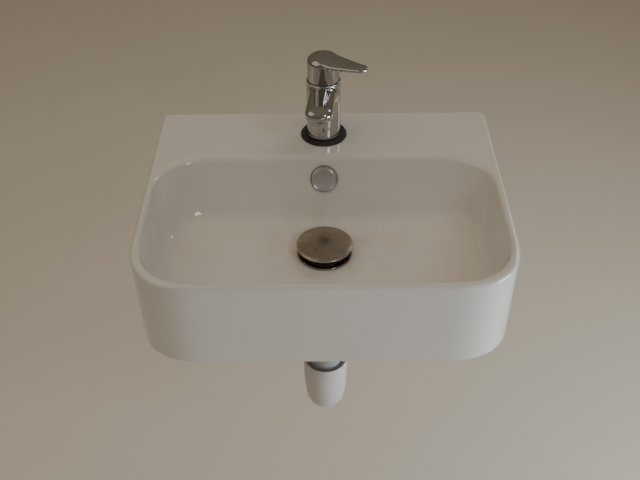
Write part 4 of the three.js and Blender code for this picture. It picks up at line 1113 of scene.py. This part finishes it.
def trap_body():
    """A turned body on its spigot, joined with a filleted branch towards the wall, and bored both ways."""
    profile = rounded([
        (0, COLLAR_TOP - 12), (21, COLLAR_TOP - 12, 0.5), (21, COLLAR_TOP + 3.3, 0.2),
        (22.5, COLLAR_TOP + 4.3, 0.6), (22.5, BODY_TOP - 8, 3), (20, BODY_TOP - 4, 2), (20, BODY_TOP, 0.5),
        (0, BODY_TOP)])
    root = rooted(BRANCH, BRANCH, OUTLET, 2.0, profile[profile[:, 0] > 15], (2.2, 1.2, 2.0), 3.0)
    radius = np.array([BRANCH, BRANCH, BRANCH, 18.8, 18.2])
    branch = sections(2.0, radius, radius, OUTLET, np.array([28, 40, 49.3, 49.8, 50.0]))
    body = ringed("trap_body", moved(turned(profile, 128), *TRAP))
    join(body, placed(np.concatenate([root, branch]), (0, 1, 0), TRAP))
    for bore in ((18.6, COLLAR_TOP - 19, BODY_TOP - 10), (PIPE + GAP, BODY_TOP - 20, BODY_TOP + 7)):
        cut(body, moved(rod(*bore), *TRAP))
    for bore in ((PIPE_BORE, 0, 31), (PIPE + GAP, 30, 60)):
        cut(body, toward_wall(rod(*bore)))
    return body


settle(trap_body(), shaded_plastic, "fixed", "trap_body", crease=32.0)
cup = rounded([
    (0, CUP_FOOT), (12, CUP_FOOT, 4), (19, CUP_FOOT + 2.8, 5), (23.5, CUP_FOOT + 11, 7),
    (25.8, CUP_FOOT + 27, 9), (27.2, COLLAR_TOP - 30, 6), (27.5, COLLAR_TOP - 20, 6),
    (27.5, COLLAR_TOP, 0.5), (26.2, COLLAR_TOP, 0.5),
    (25.8, COLLAR_TOP - 6, 0.8), (21.3, COLLAR_TOP - 6, 0.3), (21.3, COLLAR_TOP - 13, 0.2),
    (18.6, COLLAR_TOP - 13, 0.3), (18, CUP_FOOT + 10, 4), (11, CUP_FOOT + 2.4, 3), (0, CUP_FOOT + 2.4)])
finished("trap_cup", moved(turned(cup, 128), *TRAP), white_plastic)
tube = rounded([
    (PIPE_BORE, CUP_FOOT + 26, 0.3), (PIPE, CUP_FOOT + 26, 0.3), (PIPE, TUBE_TOP - 4),
    (20.5, TUBE_TOP - 4, 0.4), (20.5, TUBE_TOP, 0.4), (PIPE_BORE, TUBE_TOP, 0.4)])
finished("trap_dip_tube", moved(turned(tube), *TRAP), white_plastic)

# %% Ribbed nuts, outlet pipe, wall plate
top_low, top_high = BODY_TOP - 3, BODY_TOP + 8
inlet_nut = ribbed_nut(25, -170, -138, (21.6, -138), (21.3, -138.6), (21.3, -166), (16.3, -166), (16.3, -170))
top_nut = ribbed_nut(
    23.5, top_low, top_high, (17.0, top_high), (16.3, top_high - 0.6), (16.3, top_high - 3),
    (20.3, top_high - 3), (20.3, top_low))
outlet_nut = ribbed_nut(23.4, 34, 56, (17.0, 56), (16.3, 55.4), (16.3, 53), (19.4, 53), (19.4, 34))
pipe = turned(rounded([(PIPE_BORE, 30.3, 0.3), (PIPE, 30.3, 0.3), (PIPE, 177), (PIPE_BORE, 177)]))
plate = turned(rounded([
    (16.3, 163, 0.3), (18.3, 163, 1.2), (22, 168.5, 3), (31, 172, 3), (36, 175.4, 1.2), (36, 177),
    (16.3, 177)]), 128)
for name, rings in (
        ("trap_inlet_nut", moved(inlet_nut, *TRAP)), ("trap_top_nut", moved(top_nut, *TRAP)),
        ("trap_outlet_nut", toward_wall(outlet_nut)), ("trap_outlet_pipe", toward_wall(pipe)),
        ("outlet_wall_plate", toward_wall(plate))):
    finished(name, rings, white_plastic)

# %% [markdown]
# ## Wall bolts
# Two threaded bolts come out of the wall through the basin's back. Each has a nylon sleeve against the
# ceramic, a steel washer and a nut. Left and right are the same pieces at two places.

# %% Wall bolts
BOLT_BORE = 5.1
sleeve = turned(rounded([
    (BOLT_BORE, -15, 0.3), (13, -15, 0.6), (13, -11.3, 0.3), (6.7, -11.3), (6.7, -1, 0.3),
    (BOLT_BORE, -1, 0.3)]), 72)
bolt_washer = turned(rounded([
    (BOLT_BORE, -17.3, 0.2), (11, -17.3, 0.4), (11, -15.3, 0.4), (BOLT_BORE, -15.3, 0.2)]), 72)
bolt_nut = hexagon_nut(17, BOLT_BORE, -25.6, -17.6, 120)
bolt = threaded(4.8, -34, -0.3, 1.5, 0.8)
for side, x in (("left", -BOLT_X), ("right", BOLT_X)):
    finished(f"wall_bolt_{side}", along_y(bolt, x=x), steel)
    finished(f"bolt_sleeve_{side}", along_y(sleeve, x=x), nylon)
    finished(f"bolt_washer_{side}", along_y(bolt_washer, x=x), steel)
    finished(f"bolt_nut_{side}", along_y(bolt_nut, x=x), steel)
